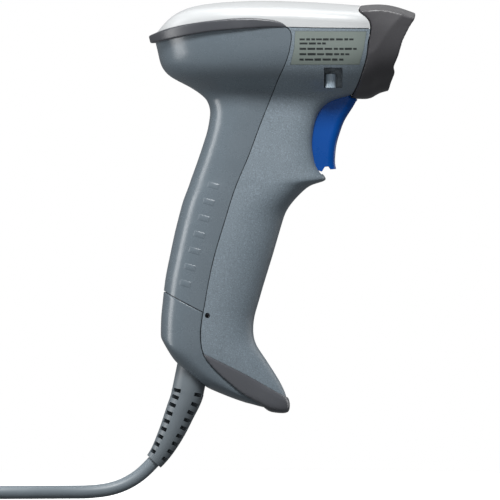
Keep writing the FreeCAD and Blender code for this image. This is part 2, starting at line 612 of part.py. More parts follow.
# ------------------------------------------------------------------ inner frame, boards and engine
def standoff_places():
    return [Vector(x, y, 0) for x, y in STANDOFFS]


def tray(inner):
    """The inner frame: a deck with standoffs, the trigger's cheeks, the spring seat and an engine bed."""
    deck = block((-24.0, 66.0), (-24.0, 24.0), (TRAY_Z, TRAY_Z + TRAY_THICK))
    deck = deck.makeFillet(6.0, [e for e in deck.Edges if e.BoundBox.ZLength > 1])
    posts = [rod(p + Vector(0, 0, TRAY_Z + 1), Vector(0, 0, 1), BOARD_Z - TRAY_Z - 1, 3.4)
             for p in standoff_places()]
    bed = block((ENGINE_X[0] - 1, ENGINE_X[1]), (-ENGINE_HALF - 1, ENGINE_HALF + 1),
                (TRAY_Z + 1, ENGINE_Z[0] - 0.1))
    cheeks = [block((50.5, 57.5), (min(y), max(y)), (69.9, TRAY_Z + 1))
              for y in ((-13.3, -SLOT_HALF + 0.1), (13.3, SLOT_HALF - 0.1))]
    tongue = block((34.6, 36.4), (-5.0, 5.0), (56.6, TRAY_Z + 1))
    frame = deck.fuse(posts + [bed, tongue] + cheeks)
    pin = rod(Vector(PIVOT.x, -20, PIVOT.z), Vector(0, 1, 0), 40, PIVOT_PIN_R)
    wire_way = block((2.0, 16.0), (-9.0, 9.0), (TRAY_Z - 1, TRAY_Z + 4))
    threads = [rod(p + Vector(0, 0, 86.0), Vector(0, 0, 1), 12, SCREW_R) for p in standoff_places()]
    threads += [rod(p + Vector(0, 0, TRAY_Z - 2), Vector(0, 0, 1), 8, SCREW_R) for p in cover_screw_places()]
    threads += [rod(Vector(x, y, ENGINE_Z[0] - 4), Vector(0, 0, 1), 5, 0.9) for x, y in ENGINE_SCREWS]
    return one(frame.cut([pin, wire_way] + threads).common(inner))


def screw(head, axis, shank_length, head_r=2.5, head_height=1.6, shank_r=SCREW_R):
    """A pan-head screw: head is the underside of the head, axis points along the shank."""
    top = head - axis * head_height
    body = rod(top, axis, head_height, head_r)
    rim = [e for e in body.Edges if (e.CenterOfMass - top).Length < 0.01]
    body = body.makeFillet(0.5, rim).fuse(rod(head, axis, shank_length, shank_r))
    side = Vector(0, 1, 0)
    other = axis.cross(side)
    depth = head_height * 0.6
    for along, wide in ((side, other), (other, side)):
        half = along * head_r * 0.55
        thin = wide * 0.25
        corners = [top - half - thin, top + half - thin, top + half + thin, top - half + thin]
        face = Part.Face(Part.makePolygon(corners + corners[:1]))
        body = body.cut(face.extrude(axis * depth))
    return body


def main_board():
    board = block((-17.0, 47.0), (-25.0, 25.0), (BOARD_Z, BOARD_Z + BOARD_THICK))
    board = board.makeFillet(5.0, [e for e in board.Edges if e.BoundBox.ZLength > 1])
    holes = [rod(p + Vector(0, 0, BOARD_Z - 1), Vector(0, 0, 1), 4, 1.4) for p in standoff_places()]
    return board.cut(holes)


def board_chips():
    top = BOARD_Z + BOARD_THICK
    layout = [(14, 0, 14, 14, 1.4), (32, 9, 9, 12, 1.2), (32, -9, 9, 9, 1.2), (12, 17, 7, 5, 1.6),
              (24, 18, 5, 4, 1.6), (2, -15, 6, 6, 2.4), (-4, 0, 4, 2.4, 0.9), (20, -17, 4, 7, 1.4),
              (42, 0, 3, 16, 2.2)]
    return [block((x - a / 2, x + a / 2), (y - b / 2, y + b / 2), (top, top + h))
            for x, y, a, b, h in layout]


def beeper():
    base = rod(Vector(-8.0, 10.5, BOARD_Z + BOARD_THICK), Vector(0, 0, 1), 5.0, 6.0)
    base = base.makeFillet(0.6, [e for e in base.Edges if e.BoundBox.ZMin > 100])
    return base.cut(rod(Vector(-8.0, 10.5, 100.0), Vector(0, 0, 1), 5.0, 1.4))


def engine_parts():
    """The imaging engine: a die-cast block, its board, the lens, the lamps and the aimer."""
    x0, x1 = ENGINE_X
    z0, z1 = ENGINE_Z
    casting = block((x0, x1), (-ENGINE_HALF, ENGINE_HALF), (z0, z1))
    casting = casting.makeFillet(1.2, [e for e in casting.Edges if e.BoundBox.ZLength > 5])
    tabs = [rod(Vector(x, y, z0 + 3), Vector(0, 0, 1), 12, 2.2) for x, y in ENGINE_SCREWS]
    shanks = [rod(Vector(x, y, z0 - 1), Vector(0, 0, 1), 6, 1.0) for x, y in ENGINE_SCREWS]
    tunnel = rod(Vector(x0 + 3, LENS_Y, OPTICS_Z), Vector(1, 0, 0), 20, 4.4)
    lamp_rooms = [block((x1 - 4, x1 + 1), (y - 2.6, y + 2.6), (OPTICS_Z - 4, OPTICS_Z + 4))
                  for y in (-LED_Y - 0.2, LED_Y + 0.2)]
    aim_room = rod(Vector(x1 - 8, AIMER_Y, OPTICS_Z), Vector(1, 0, 0), 10, 2.3)
    casting = one(casting.cut(tabs + shanks + [tunnel, aim_room] + lamp_rooms))
    board = block((x0 - 1.8, x0 - 0.2), (-ENGINE_HALF, ENGINE_HALF), (z0, z1))
    barrel = rod(Vector(x0 + 3.1, LENS_Y, OPTICS_Z), Vector(1, 0, 0), 10.6, 4.25)
    barrel = barrel.cut(rod(Vector(x0 + 5, LENS_Y, OPTICS_Z), Vector(1, 0, 0), 10, 3.3))
    ball = Part.makeSphere(9.0, Vector(x1 - 10.2, LENS_Y, OPTICS_Z))
    lens = rod(Vector(x1 - 3.2, LENS_Y, OPTICS_Z), Vector(1, 0, 0), 2.2, 3.2).common(ball)
    lamps = [block((x1 - 3.9, x1 - 2.4), (y - 1.6, y + 1.6), (z - 1.6, z + 1.6))
             for y in (-LED_Y - 0.2, LED_Y + 0.2) for z in (OPTICS_Z - 2.1, OPTICS_Z + 2.1)]
    aimer = rod(Vector(x1 - 7.9, AIMER_Y, OPTICS_Z), Vector(1, 0, 0), 7.0, 2.2)
    aimer = aimer.cut(rod(Vector(x1 - 2, AIMER_Y, OPTICS_Z), Vector(1, 0, 0), 3, 1.2))
    screws = [screw(Vector(x, y, z0 + 3), Vector(0, 0, -1), 6.0, 1.8, 1.3, 0.85)
              for x, y in ENGINE_SCREWS]
    return casting, board, barrel, lens, lamps, aimer, screws


def flat_strap(points, half_width, thick):
    """A flat flexible circuit: a thin strap that follows a side-view curve."""
    curve = strip(points, thick).common(block((-99, 99), (-half_width, half_width), (-99, 199)))
    return one(curve)


def tube(points, radius):
    """A tube of straight runs joined by tangent arcs, and the radii of the arcs."""
    stops = [Vector(*p) for p in points]
    edges = []
    radii = []
    start = stops[0]
    for before, here, after in zip(stops, stops[1:], stops[2:]):
        come = here - before
        leave = after - here
        shorter = min(come.Length, leave.Length)
        turn = come.getAngle(leave)
        back = 0.45 * shorter
        radii.append(back / math.tan(turn / 2))
        a = Vector(come)
        a.normalize()
        b = Vector(leave)
        b.normalize()
        first = here - a * back
        last = here + b * back
        inward = b - a
        inward.normalize()
        centre = here + inward * (radii[-1] / math.cos(turn / 2))
        middle = centre - inward * radii[-1]
        edges.append(Part.makeLine(start, first))
        edges.append(Part.Arc(first, middle, last).toShape())
        start = last
    edges.append(Part.makeLine(start, stops[-1]))
    path = Part.Wire(edges)
    heading = stops[1] - stops[0]
    ring = Part.Wire([Part.makeCircle(radius, stops[0], heading)])
    return path.makePipeShell([ring], True, True), path.Length, radii


def harness():
    """Four wires from the jack, up the handle, to the connector under the main board."""
    top = jack_point(0.0, JACK[1] + 1.5)
    wires = []
    for y in (-2.4, -0.8, 0.8, 2.4):
        points = [(top.x, y, top.z), (top.x + 1.8, y, top.z + 12), (3.0, y, 34.0), (7.0, y, 62.0),
                  (8.0, y, 78.0), (8.0, y, 91.0)]
        wires.append(tube(points, 0.6)[0])
    return wires


def board_connector():
    shell = block((4.0, 12.0), (-6.0, 6.0), (91.0, BOARD_Z))
    return shell.makeFillet(0.5, [e for e in shell.Edges if e.BoundBox.ZLength > 3])


# ------------------------------------------------------------------ cable exit
def jack_point(x, z):
    """A point given across and up the cable's axis, in the scanner's frame."""
    turn = math.radians(EXIT_TILT)
    return EXIT + Vector(x * math.cos(turn) + z * math.sin(turn), 0,
                         -x * math.sin(turn) + z * math.cos(turn))


def jack_parts():
    """The modular jack and its contacts, the plug on the cable, and the plug's locking tab."""
    housing = block((-8.0, 8.0), (-8.0, 6.4), JACK)
    cavity = block((-6.05, 6.05), (-4.1, 4.1), (JACK[0] - 1, PLUG[1] + 0.4))
    keyway = block((-LATCH_HALF - 0.4, LATCH_HALF + 0.4), (-7.2, -3.9), (JACK[0] - 1, LATCH[1] + 1.6))
    housing = housing.cut(cavity.fuse(keyway))
    slots = [block((x - 0.32, x + 0.32), (3.9, 5.6), (JACK[0] + 4, JACK[1] - 3)) for x in contact_places()]
    housing = housing.cut(slots)
    contacts = [block((x - 0.25, x + 0.25), (4.15, 4.6), (JACK[0] + 4.2, JACK[1] - 3.2))
                for x in contact_places()]
    contacts += [block((x - 0.25, x + 0.25), (1.0, 1.5), (JACK[1] + 0.02, JACK[1] + 1.4))
                 for x in contact_places()]
    plug = block((-PLUG_HALF[0], PLUG_HALF[0]), (-PLUG_HALF[1], PLUG_HALF[1]), PLUG)
    plug = plug.makeFillet(0.4, [e for e in plug.Edges if e.BoundBox.ZLength > 10])
    corners = [Vector(0, -4.2, LATCH[1]), Vector(0, -5.1, LATCH[1]), Vector(0, -6.9, LATCH[0]),
               Vector(0, -6.0, LATCH[0])]
    face = Part.Face(Part.makePolygon(corners + corners[:1]))
    face.translate(Vector(-LATCH_HALF, 0, 0))
    tab = face.extrude(Vector(2 * LATCH_HALF, 0, 0))
    return [place(s, EXIT, EXIT_TILT) for s in (housing, Part.makeCompound(contacts), plug, tab)]


def contact_places():
    return [-4.57 + 1.016 * i for i in range(10)]


def strain_relief():
    """A tapered boot that bends with the cable, with four columns of slots to let it flex."""
    neck = Part.makeCylinder(NECK_R, COLLAR[0] + 8.6, Vector(0, 0, -8.6))
    collar = Part.makeCylinder(COLLAR_R, COLLAR[1] - COLLAR[0], Vector(0, 0, COLLAR[0]))
    stem = Part.makeCylinder(5.6, PLUG[0] - COLLAR[1], Vector(0, 0, COLLAR[1]))
    upper = place(neck.fuse([collar, stem]), EXIT, EXIT_TILT)

    line = Part.BSplineCurve()
    stops = [Vector(x, 0, z) for (x, z), _ in RELIEF_LINE]
    leave = Vector(-math.sin(math.radians(EXIT_TILT)), 0, -math.cos(math.radians(EXIT_TILT)))
    cord_start = Vector(*CORD_ROUTE[1]) - Vector(*CORD_ROUTE[0])
    line.interpolate(Points=stops, InitialTangent=leave, FinalTangent=cord_start.normalize())
    first = line.FirstParameter
    last = line.LastParameter
    rings = []
    count = 20
    places = [line.parameter(p) for p in stops]
    diameters = [d for _, d in RELIEF_LINE]
    for i in range(count + 1):
        u = first + (last - first) * i / count
        centre = line.value(u)
        heading = line.tangent(u)[0]
        radius = monotone(places, diameters, u) / 2
        rings.append(Part.Wire([Part.makeCircle(radius, centre, heading)]))
    boot = one(Part.makeLoft(rings, True, False, False, 5))

    slots = []
    round_way, along, deep = SLOT_SIZE
    for row in range(RELIEF_ROWS):
        u = line.parameterAtDistance(RELIEF_FIRST + RELIEF_PITCH * row, first)
        centre = line.value(u)
        heading = line.tangent(u)[0]
        radius = monotone(places, diameters, u) / 2
        size = radius / (RELIEF_LINE[0][1] / 2)
        tilt = math.degrees(math.atan2(-heading.x, -heading.z))
        for turn in (45, 135, 225, 315):
            cutter = Part.makeBox(deep * size + 4, round_way * size, along,
                                  Vector(radius - deep * size, -round_way * size / 2, -along / 2))
            cutter.rotate(Vector(0, 0, 0), Vector(0, 0, 1), turn)
            slots.append(place(cutter, centre, tilt))
    return one(upper.fuse(boot).cut(slots))


# ------------------------------------------------------------------ loose cable and its plug
def coil_solid():
    """The outer shape of the coiled length: a ring with rounded edges."""
    inner = COIL_INNER - CORD_R
    outer = COIL_OUTER + CORD_R
    height = COIL_LAYERS * CORD_D
    centre = Vector(COIL_CENTRE[0], COIL_CENTRE[1], COIL_BASE_Z)
    ring = Part.makeCylinder(outer, height, centre).cut(Part.makeCylinder(inner, height, centre))
    return ring.makeFillet(CORD_R * 0.9, [e for e in ring.Edges if e.BoundBox.ZLength < 0.01])


def ties():
    """Two hook-and-loop straps round the coiled length, on opposite sides."""
    inner = COIL_INNER - CORD_R
    outer = COIL_OUTER + CORD_R
    height = COIL_LAYERS * CORD_D
    gap = 0.1
    straps = []
    for turn in TIE_TURNS:
        hole = block((inner - gap, outer + gap), (-6, 6), (-gap, height + gap))
        strap = block((inner - gap - TIE_THICK, outer + gap + TIE_THICK), (-5, 5),
                      (-gap - TIE_THICK, height + gap + TIE_THICK))
        strap = strap.makeFillet(2.4, [e for e in strap.Edges if e.BoundBox.YLength > 5])
        hole = hole.makeFillet(1.6, [e for e in hole.Edges if e.BoundBox.YLength > 5])
        strap = strap.cut(hole)
        strap.rotate(Vector(0, 0, 0), Vector(0, 0, 1), turn)
        strap.translate(Vector(COIL_CENTRE[0], COIL_CENTRE[1], COIL_BASE_Z))
        straps.append(strap)
    return straps


def usb_parts():
    """The host plug: a moulded grip, a metal shell and the tongue with its four contacts."""
    start = Vector(*TAIL_ROUTE[-1])
    heading = start - Vector(*TAIL_ROUTE[-2])
    turn = math.degrees(math.atan2(heading.y, heading.x))

    def lay(shape):
        moved = shape.copy()
        moved.Placement = Placement(start, Rotation(Vector(0, 0, 1), turn))
        return moved

    boot = Part.makeCone(3.4, 4.2, 9.0, Vector(0, 0, 0), Vector(1, 0, 0))
    grip = block((9.0, 34.0), (-8.0, 8.0), (-4.3, 4.3))
    grip = grip.makeFillet(2.6, [e for e in grip.Edges if e.BoundBox.XLength > 20])
    grip = grip.makeFillet(1.0, [e for e in grip.Edges if e.BoundBox.XMin > 33.9 or e.BoundBox.XMax < 9.1])
    grip = one(grip.fuse(boot))
    shell = block((33.0, 52.0), (-6.0, 6.0), (-2.25, 2.25))
    shell = shell.makeFillet(0.5, [e for e in shell.Edges if e.BoundBox.XLength > 10])
    socket = block((33.4, 60.0), (-5.7, 5.7), (-1.95, 1.95))
    windows = [block((43.0, 45.6), (y - 1.2, y + 1.2), (1.0, 4.0)) for y in (-2.6, 2.6)]
    grip = grip.cut(block((33.0, 60.0), (-6.0, 6.0), (-2.25, 2.25)))
    shell = shell.cut([socket] + windows)
    tongue = block((33.4, 50.8), (-5.5, 5.5), (-1.9, 0.0))
    pins = [block((37.0, 50.0), (y - 0.5, y + 0.5), (-0.02, 0.16)) for y in (-3.5, -1.0, 1.0, 3.5)]
    tongue = tongue.cut([block((37.0, 50.0), (y - 0.5, y + 0.5), (-0.02, 1)) for y in (-3.5, 3.5)])
    return lay(grip), lay(shell), lay(tongue), lay(Part.makeCompound(pins))


# ------------------------------------------------------------------ make every piece
def build():
    os.makedirs("parts", exist_ok=True)
    outer, inner, top, rear, front, heel, band, toe_cap, label = shell_parts()
    bezel, window, gasket = nose_parts()
    light, light_hole = indicator()
    save("top_cover", finish_top(top, inner, light_hole))
    save("indicator_lens", one(light.common(outer)))
    save("rear_cover", rear)
    save("front_housing", finish_front(front, inner))
    save("heel_cover", finish_heel(heel, inner))
    save("rear_bumper", band)
    save("toe_bumper", toe_cap)
    save("side_label", label)
    save("nose_bezel", bezel)
    save("scan_window", window)
    save("window_gasket", gasket)
    x0, x1, z0, z1 = LANYARD
    save("lanyard_post", rod(Vector(x0 + 3.1, -22.6, z0), Vector(0, 0, 1), 6.4, LANYARD_POST_R))

    save("trigger", trigger())
    save("trigger_pin", rod(Vector(PIVOT.x, -13.3, PIVOT.z), Vector(0, 1, 0), 26.6, PIVOT_PIN_R))
    save("trigger_spring", helix_spring())
    switch_body, plunger, switch_board = switch_parts()
    save("switch_body", switch_body)
    save("switch_plunger", plunger)
    save("switch_board", switch_board)

    save("chassis_tray", tray(inner))
    save("main_board", main_board())
    save("board_chips", Part.makeCompound(board_chips()))
    save("board_connector", board_connector())
    save("beeper", beeper())
    board_top = BOARD_Z + BOARD_THICK
    save("board_screws", Part.makeCompound([screw(p + Vector(0, 0, board_top), Vector(0, 0, -1), 9.0)
                                            for p in standoff_places()]))
    save("cover_screws", Part.makeCompound([screw(p + Vector(0, 0, TRAY_Z), Vector(0, 0, 1), 11.0, 2.3)
                                            for p in cover_screw_places()]))
    save("heel_screw", screw(Vector(15.0, 0, -75.4), Vector(0, 0, 1), 16.0, 2.6))

    casting, engine_board, barrel, lens, lamps, aimer, engine_screws = engine_parts()
    save("engine_chassis", casting)
    save("engine_board", engine_board)
    save("lens_barrel", barrel)
    save("lens_glass", lens)
    save("illumination_leds", Part.makeCompound(lamps))
    save("aimer", aimer)
    save("engine_screws", Part.makeCompound(engine_screws))
    save("engine_flex", flat_strap([(49.0, 96.4), (47.6, 98.9), (45.2, 99.6), (42.0, 99.1)], 7.0, 0.3))

    jack, contacts, plug, tab = jack_parts()
    save("modular_jack", jack)
    save("jack_contacts", contacts)
    save("modular_plug", plug)
    save("cable_latch", tab)
    save("handle_harness", Part.makeCompound(harness()))
    save("strain_relief", strain_relief())

    cord, cord_length, cord_radii = tube(CORD_ROUTE, CORD_R)
    tail, tail_length, tail_radii = tube(TAIL_ROUTE, CORD_R)
    save("cord", cord)
    save("cord_tail", tail)
    save("cord_coil", coil_solid())
    save("cord_ties", Part.makeCompound(ties()))
    grip, shell, tongue, pins = usb_parts()
    save("usb_overmould", grip)
    save("usb_shell", shell)
    save("usb_tongue", tongue)
    save("usb_contacts", pins)
    area = math.pi * CORD_R ** 2
    print("cord", round(cord_length), "mm", round(cord.Volume / area), [round(r) for r in cord_radii])
    print("tail", round(tail_length), "mm", round(tail.Volume / area), [round(r) for r in tail_radii])


build()
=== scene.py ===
"""Looks for a corded, pistol-grip barcode scanner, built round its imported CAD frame.

Metres, in the row frame: X towards the nose, Z up, and the camera looks along +Y.
"""

import math
import random

import bmesh
import bpy
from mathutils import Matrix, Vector
from mathutils.bvhtree import BVHTree


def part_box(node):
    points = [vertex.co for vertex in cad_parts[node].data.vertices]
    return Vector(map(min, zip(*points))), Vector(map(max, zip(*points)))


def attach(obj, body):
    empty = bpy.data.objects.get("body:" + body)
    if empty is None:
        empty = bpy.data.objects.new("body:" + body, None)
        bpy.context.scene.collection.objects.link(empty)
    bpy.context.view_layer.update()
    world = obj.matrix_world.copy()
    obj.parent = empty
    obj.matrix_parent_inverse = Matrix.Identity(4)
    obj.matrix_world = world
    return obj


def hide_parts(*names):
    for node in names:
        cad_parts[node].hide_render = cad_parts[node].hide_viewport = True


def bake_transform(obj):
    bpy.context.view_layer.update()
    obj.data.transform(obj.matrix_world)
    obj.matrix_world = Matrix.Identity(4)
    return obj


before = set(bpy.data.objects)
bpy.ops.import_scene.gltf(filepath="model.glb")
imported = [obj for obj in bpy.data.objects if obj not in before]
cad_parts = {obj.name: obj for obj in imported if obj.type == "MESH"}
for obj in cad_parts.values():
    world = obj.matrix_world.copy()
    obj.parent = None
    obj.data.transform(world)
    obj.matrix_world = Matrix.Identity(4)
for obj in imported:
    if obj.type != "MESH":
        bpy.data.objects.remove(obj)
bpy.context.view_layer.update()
MM = 0.001

# ------------------------------------------------------------------ camera
VIEW_WIDTH = 0.235
VIEW_CENTRE = Vector((0.01175, 0.0, -0.0047))
LENS = 1000.0
SENSOR = 36.0


def make_camera():
    data = bpy.data.cameras.new("camera")
    data.lens = LENS
    data.sensor_width = SENSOR
    data.clip_start = 0.1
    data.clip_end = 30
    camera = bpy.data.objects.new("camera", data)
    bpy.context.scene.collection.objects.link(camera)
    away = VIEW_WIDTH / 2 / (SENSOR / 2 / LENS)
    camera.location = VIEW_CENTRE - Vector((0, away, 0))
    camera.rotation_euler = (math.radians(90), 0, 0)
    bpy.context.scene.camera = camera


# ------------------------------------------------------------------ the cable, as part.py lays it
CORD_R = 3.1 * MM
CORD_D = 2 * CORD_R
FLOOR_Z = -121.5 * MM
LAY_Z = FLOOR_Z + CORD_R
CORD_ROUTE = [
    (-33.4, 0.0, -104.0),
    (-37.83, 0.0, -108.75),
    (-43.02, -0.13, -112.66),
    (-48.81, -0.53, -115.61),
    (-55.4, -1.19, -117.5),
    (-64.0, -2.5, LAY_Z / MM),
    (-76.0, -5.5, LAY_Z / MM),
    (-91.0, -10.9, LAY_Z / MM),
    (-108.0, -15.0, LAY_Z / MM),
    (-126.0, -16.5, LAY_Z / MM),
    (-144.0, -16.4, LAY_Z / MM),
]
COIL_CENTRE = Vector((-160.0, 30.5, 0)) * MM
COIL_INNER = 27.9 * MM
COIL_RINGS = 4
COIL_OUTER = COIL_INNER + (COIL_RINGS - 1) * CORD_D
COIL_LIFT = 1.0 * MM    # room for the straps under the coil
COIL_LOW = FLOOR_Z + COIL_LIFT + CORD_R    # middle line of the lower layer
COIL_POINTS = 166
POINTS_PER_TURN = 24
# Measured from the coil's centre, with heights above the top layer's middle line.
TAIL_FROM_COIL = [
    (16.6, -44.0, 0),
    (3.0, -46.9, 0.4),
    (-9.97, -46.5, 1.8),
    (-19.16, -42.69, 4.2),
    (-26.19, -35.66, 6.4),
    (-30.0, -26.47, 7.5),
    (-30.0, -16.0, 7.5),
]


def ease(value, start, end):
    """0 before start, 1 after end, and smooth between them."""
    t = min(1.0, max(0.0, (value - start) / (end - start)))
    return t * t * (3 - 2 * t)


def coil_points():
    """Two layers of turns: inwards along the floor, up at the inner ring, and outwards on top."""
    first_step = 0.55    # turns before the first step to the next ring
    width = 0.14
    lead = 0.05
    steps = COIL_RINGS - 1
    spread = 1 / (0.75 + 0.25 * math.cos(math.tau / POINTS_PER_TURN))
    points = []
    for i in range(COIL_POINTS):
        turn = i / POINTS_PER_TURN
        inward = sum(ease(turn, first_step + k, first_step + k + width) for k in range(steps))
        climb = ease(turn, first_step + steps - lead, first_step + steps - lead + width)
        outward = sum(ease(turn, first_step + k - 2 * lead, first_step + k - 2 * lead + width)
                      for k in range(steps + 1, 2 * steps + 1))
        radius = (COIL_OUTER - CORD_D * (inward - outward)) * spread
        angle = math.radians(-90) - turn * math.tau
        points.append(COIL_CENTRE + Vector((radius * math.cos(angle), radius * math.sin(angle),
                                            COIL_LOW + CORD_D * climb)))
    return points


def make_cord():
    top = COIL_CENTRE + Vector((0, 0, COIL_LOW + CORD_D))
    points = [Vector(p) * MM for p in CORD_ROUTE] + coil_points()
    points += [top + Vector(p) * MM for p in TAIL_FROM_COIL]
    curve = bpy.data.curves.new("cable", "CURVE")
    curve.dimensions = "3D"
    spline = curve.splines.new("NURBS")
    spline.points.add(len(points) - 1)
    for point, place in zip(spline.points, points):
        point.co = (*place, 1.0)
    spline.order_u = 3
    spline.use_endpoint_u = True
    spline.resolution_u = 6
    curve.bevel_depth = CORD_R
    curve.bevel_resolution = 6
    curve.use_fill_caps = True
    cable = bpy.data.objects.new("cable", curve)
    bpy.context.scene.collection.objects.link(cable)
    return cable


# ------------------------------------------------------------------ material helpers
BANDS_PER_METRE = 3.18    # of a wave texture at scale 1


class Shader:
    """A node tree with short calls for the textures that the finishes share."""

    def __init__(self, name):
        self.material = bpy.data.materials.new(name)
        self.material.use_nodes = True
        self.nodes = self.material.node_tree.nodes
        self.links = self.material.node_tree.links
        self.nodes.clear()
        self.output = self.nodes.new("ShaderNodeOutputMaterial")
        self.surface = self.nodes.new("ShaderNodeBsdfPrincipled")
        self.link(self.surface.outputs[0], self.output.inputs[0])
        self.place = self.nodes.new("ShaderNodeTexCoord").outputs["Object"]

    def link(self, a, b):
        self.links.new(a, b)

    def stretched(self, scale):
        node = self.nodes.new("ShaderNodeMapping")
        node.inputs["Scale"].default_value = scale
        self.link(self.place, node.inputs["Vector"])
        return node.outputs[0]

    def noise(self, size, detail=3.0, rough=0.55, vector=None):
        """Noise whose blotches are about size metres across, from 0 to 1."""
        node = self.nodes.new("ShaderNodeTexNoise")
        node.inputs["Scale"].default_value = 1 / size
        node.inputs["Detail"].default_value = detail
        node.inputs["Roughness"].default_value = rough
        self.link(vector or self.place, node.inputs["Vector"])
        return node.outputs[0]

    def cells(self, size, feature="F1"):
        node = self.nodes.new("ShaderNodeTexVoronoi")
        node.feature = feature
        node.inputs["Scale"].default_value = 1 / size
        self.link(self.place, node.inputs["Vector"])
        return node.outputs["Distance"]

    def waves(self, size, axis, distortion):
        """Bands that are size metres apart along an axis, from 0 to 1."""
        node = self.nodes.new("ShaderNodeTexWave")
        node.bands_direction = axis
        node.inputs["Scale"].default_value = 1 / size / BANDS_PER_METRE
        node.inputs["Distortion"].default_value = distortion
        node.inputs["Detail"].default_value = 1
        self.link(self.place, node.inputs["Vector"])
        return node.outputs["Fac"]

    def fit(self, value, low, high, to_low, to_high):
        """The value with low to high stretched to to_low to to_high, and held at their ends."""
        node = self.nodes.new("ShaderNodeMapRange")
        ends = ("From Min", "From Max", "To Min", "To Max")
        for key, number in zip(ends, (low, high, to_low, to_high)):
            node.inputs[key].default_value = number
        self.link(value, node.inputs["Value"])
        return node.outputs[0]

    def maths(self, operation, a, b):
        node = self.nodes.new("ShaderNodeMath")
        node.operation = operation
        for socket, value in zip(node.inputs, (a, b)):
            if isinstance(value, (int, float)):
                socket.default_value = value
            else:
                self.link(value, socket)
        return node.outputs[0]

    def colours(self, value, *stops):
        """A colour ramp through (place, colour) stops."""
        node = self.nodes.new("ShaderNodeValToRGB")
        ramp = node.color_ramp
        while len(ramp.elements) < len(stops):
            ramp.elements.new(0.5)
        for element, (where, colour) in zip(ramp.elements, stops):
            element.position = where
            element.color = (*colour, 1)
        self.link(value, node.inputs["Fac"])
        return node.outputs[0]

    def over(self, factor, below, above):
        """Colour above laid over colour below where factor is 1."""
        node = self.nodes.new("ShaderNodeMix")
        node.data_type = "RGBA"
        self.link(factor, node.inputs["Factor"])
        for socket, value in ((node.inputs[6], below), (node.inputs[7], above)):
            if isinstance(value, tuple):
                socket.default_value = (*value, 1)
            else:
                self.link(value, socket)
        return node.outputs[2]

    def bump(self, *layers):
        """Stacks (height, depth in metres) layers on the surface."""
        normal = None
        for height, depth in layers:
            node = self.nodes.new("ShaderNodeBump")
            node.inputs["Strength"].default_value = 1.0
            node.inputs["Distance"].default_value = depth
            self.link(height, node.inputs["Height"])
            if normal:
                self.link(normal, node.inputs["Normal"])
            normal = node.outputs[0]
        self.link(normal, self.surface.inputs["Normal"])

    def set(self, **values):
        """Sets or links the surface's sockets, named with _ for a space, and gives the material."""
        for key, value in values.items():
            socket = self.surface.inputs[key.replace("_", " ")]
            if isinstance(value, bpy.types.NodeSocket):
                self.link(value, socket)
            elif isinstance(value, tuple) and len(value) == 3:
                socket.default_value = (*value, 1)
            else:
                socket.default_value = value
        return self.material


def shade(colour, factor):
    return tuple(min(1.0, c * factor) for c in colour)


DRIFT_SIZE = 28 * MM
SPECK_SIZE = 0.55 * MM
WAVE_SIZE = 9 * MM
GLOSS_SIZE = 14 * MM


def moulded(name, colour, rough, spread=0.05, grain=0.45 * MM, depth=0.02 * MM, speck=0.0,
            wave=0.03 * MM, **more):
    """Moulded plastic: slow colour drift, a fine spark-eroded grain and uneven gloss."""
    s = Shader(name)
    drift = s.noise(DRIFT_SIZE, detail=2)
    tone = s.colours(drift, (0.3, shade(colour, 1 - spread)), (0.7, shade(colour, 1 + spread)))
    if speck:
        dots = s.noise(SPECK_SIZE, detail=1, rough=0.4)
        tone = s.over(s.fit(dots, 0.56, 0.72, 0, speck), tone, shade(colour, 1.9))
        tone = s.over(s.fit(dots, 0.44, 0.30, 0, speck), tone, shade(colour, 0.45))
    pores = s.noise(grain, detail=2)
    s.bump((s.noise(WAVE_SIZE, detail=1), wave), (pores, depth))
    gloss = s.fit(s.noise(GLOSS_SIZE, detail=3), 0.3, 0.7, rough - 0.04, rough + 0.05)
    uneven = s.maths("ADD", gloss, s.fit(pores, 0, 1, -0.04, 0.04))
    return s.set(Base_Color=tone, Roughness=uneven, **more)


def metal(name, colour, rough, stretch=(1, 1, 1)):
    """Stained metal with fine lines that run across the axis where stretch is large."""
    s = Shader(name)
    lines = s.noise(0.25 * MM, detail=3, vector=s.stretched(stretch))
    stain = s.noise(4 * MM, detail=2)
    tone = s.colours(stain, (0.3, shade(colour, 0.86)), (0.7, shade(colour, 1.08)))
    s.bump((lines, 0.012 * MM))
    uneven = s.fit(lines, 0.3, 0.7, rough - 0.07, rough + 0.07)
    return s.set(Base_Color=tone, Metallic=1.0, Roughness=uneven)


def clear(name, colour, rough, ior):
    """Tinted glass or clear plastic with a slight haze."""
    s = Shader(name)
    haze = s.noise(2.5 * MM, detail=3)
    s.bump((s.noise(6 * MM, detail=1), 0.01 * MM))
    tone = s.colours(haze, (0.35, shade(colour, 0.94)), (0.65, shade(colour, 1.03)))
    return s.set(Base_Color=tone, Roughness=s.fit(haze, 0.3, 0.7, rough, rough + 0.05),
                 Transmission_Weight=1.0, IOR=ior)


def board(name):
    """Green solder mask with copper tracks that show through it and tinned pads."""
    s = Shader(name)
    green = (0.006, 0.11, 0.035)
    track = s.fit(s.cells(2.2 * MM, feature="DISTANCE_TO_EDGE"), 0.05, 0.09, 1, 0)
    mask = s.colours(s.noise(7 * MM), (0.3, green), (0.7, shade(green, 1.5)))
    tone = s.over(track, mask, shade(green, 2.6))
    pads = s.fit(s.cells(1.7 * MM), 0.16, 0.12, 0, 1)
    tone = s.over(pads, tone, (0.6, 0.58, 0.5))
    s.bump((track, 0.03 * MM), (s.noise(0.6 * MM), 0.01 * MM))
    return s.set(Base_Color=tone, Roughness=s.fit(s.noise(3 * MM), 0.3, 0.7, 0.2, 0.36),
                 Metallic=s.fit(pads, 0, 1, 0, 0.7))


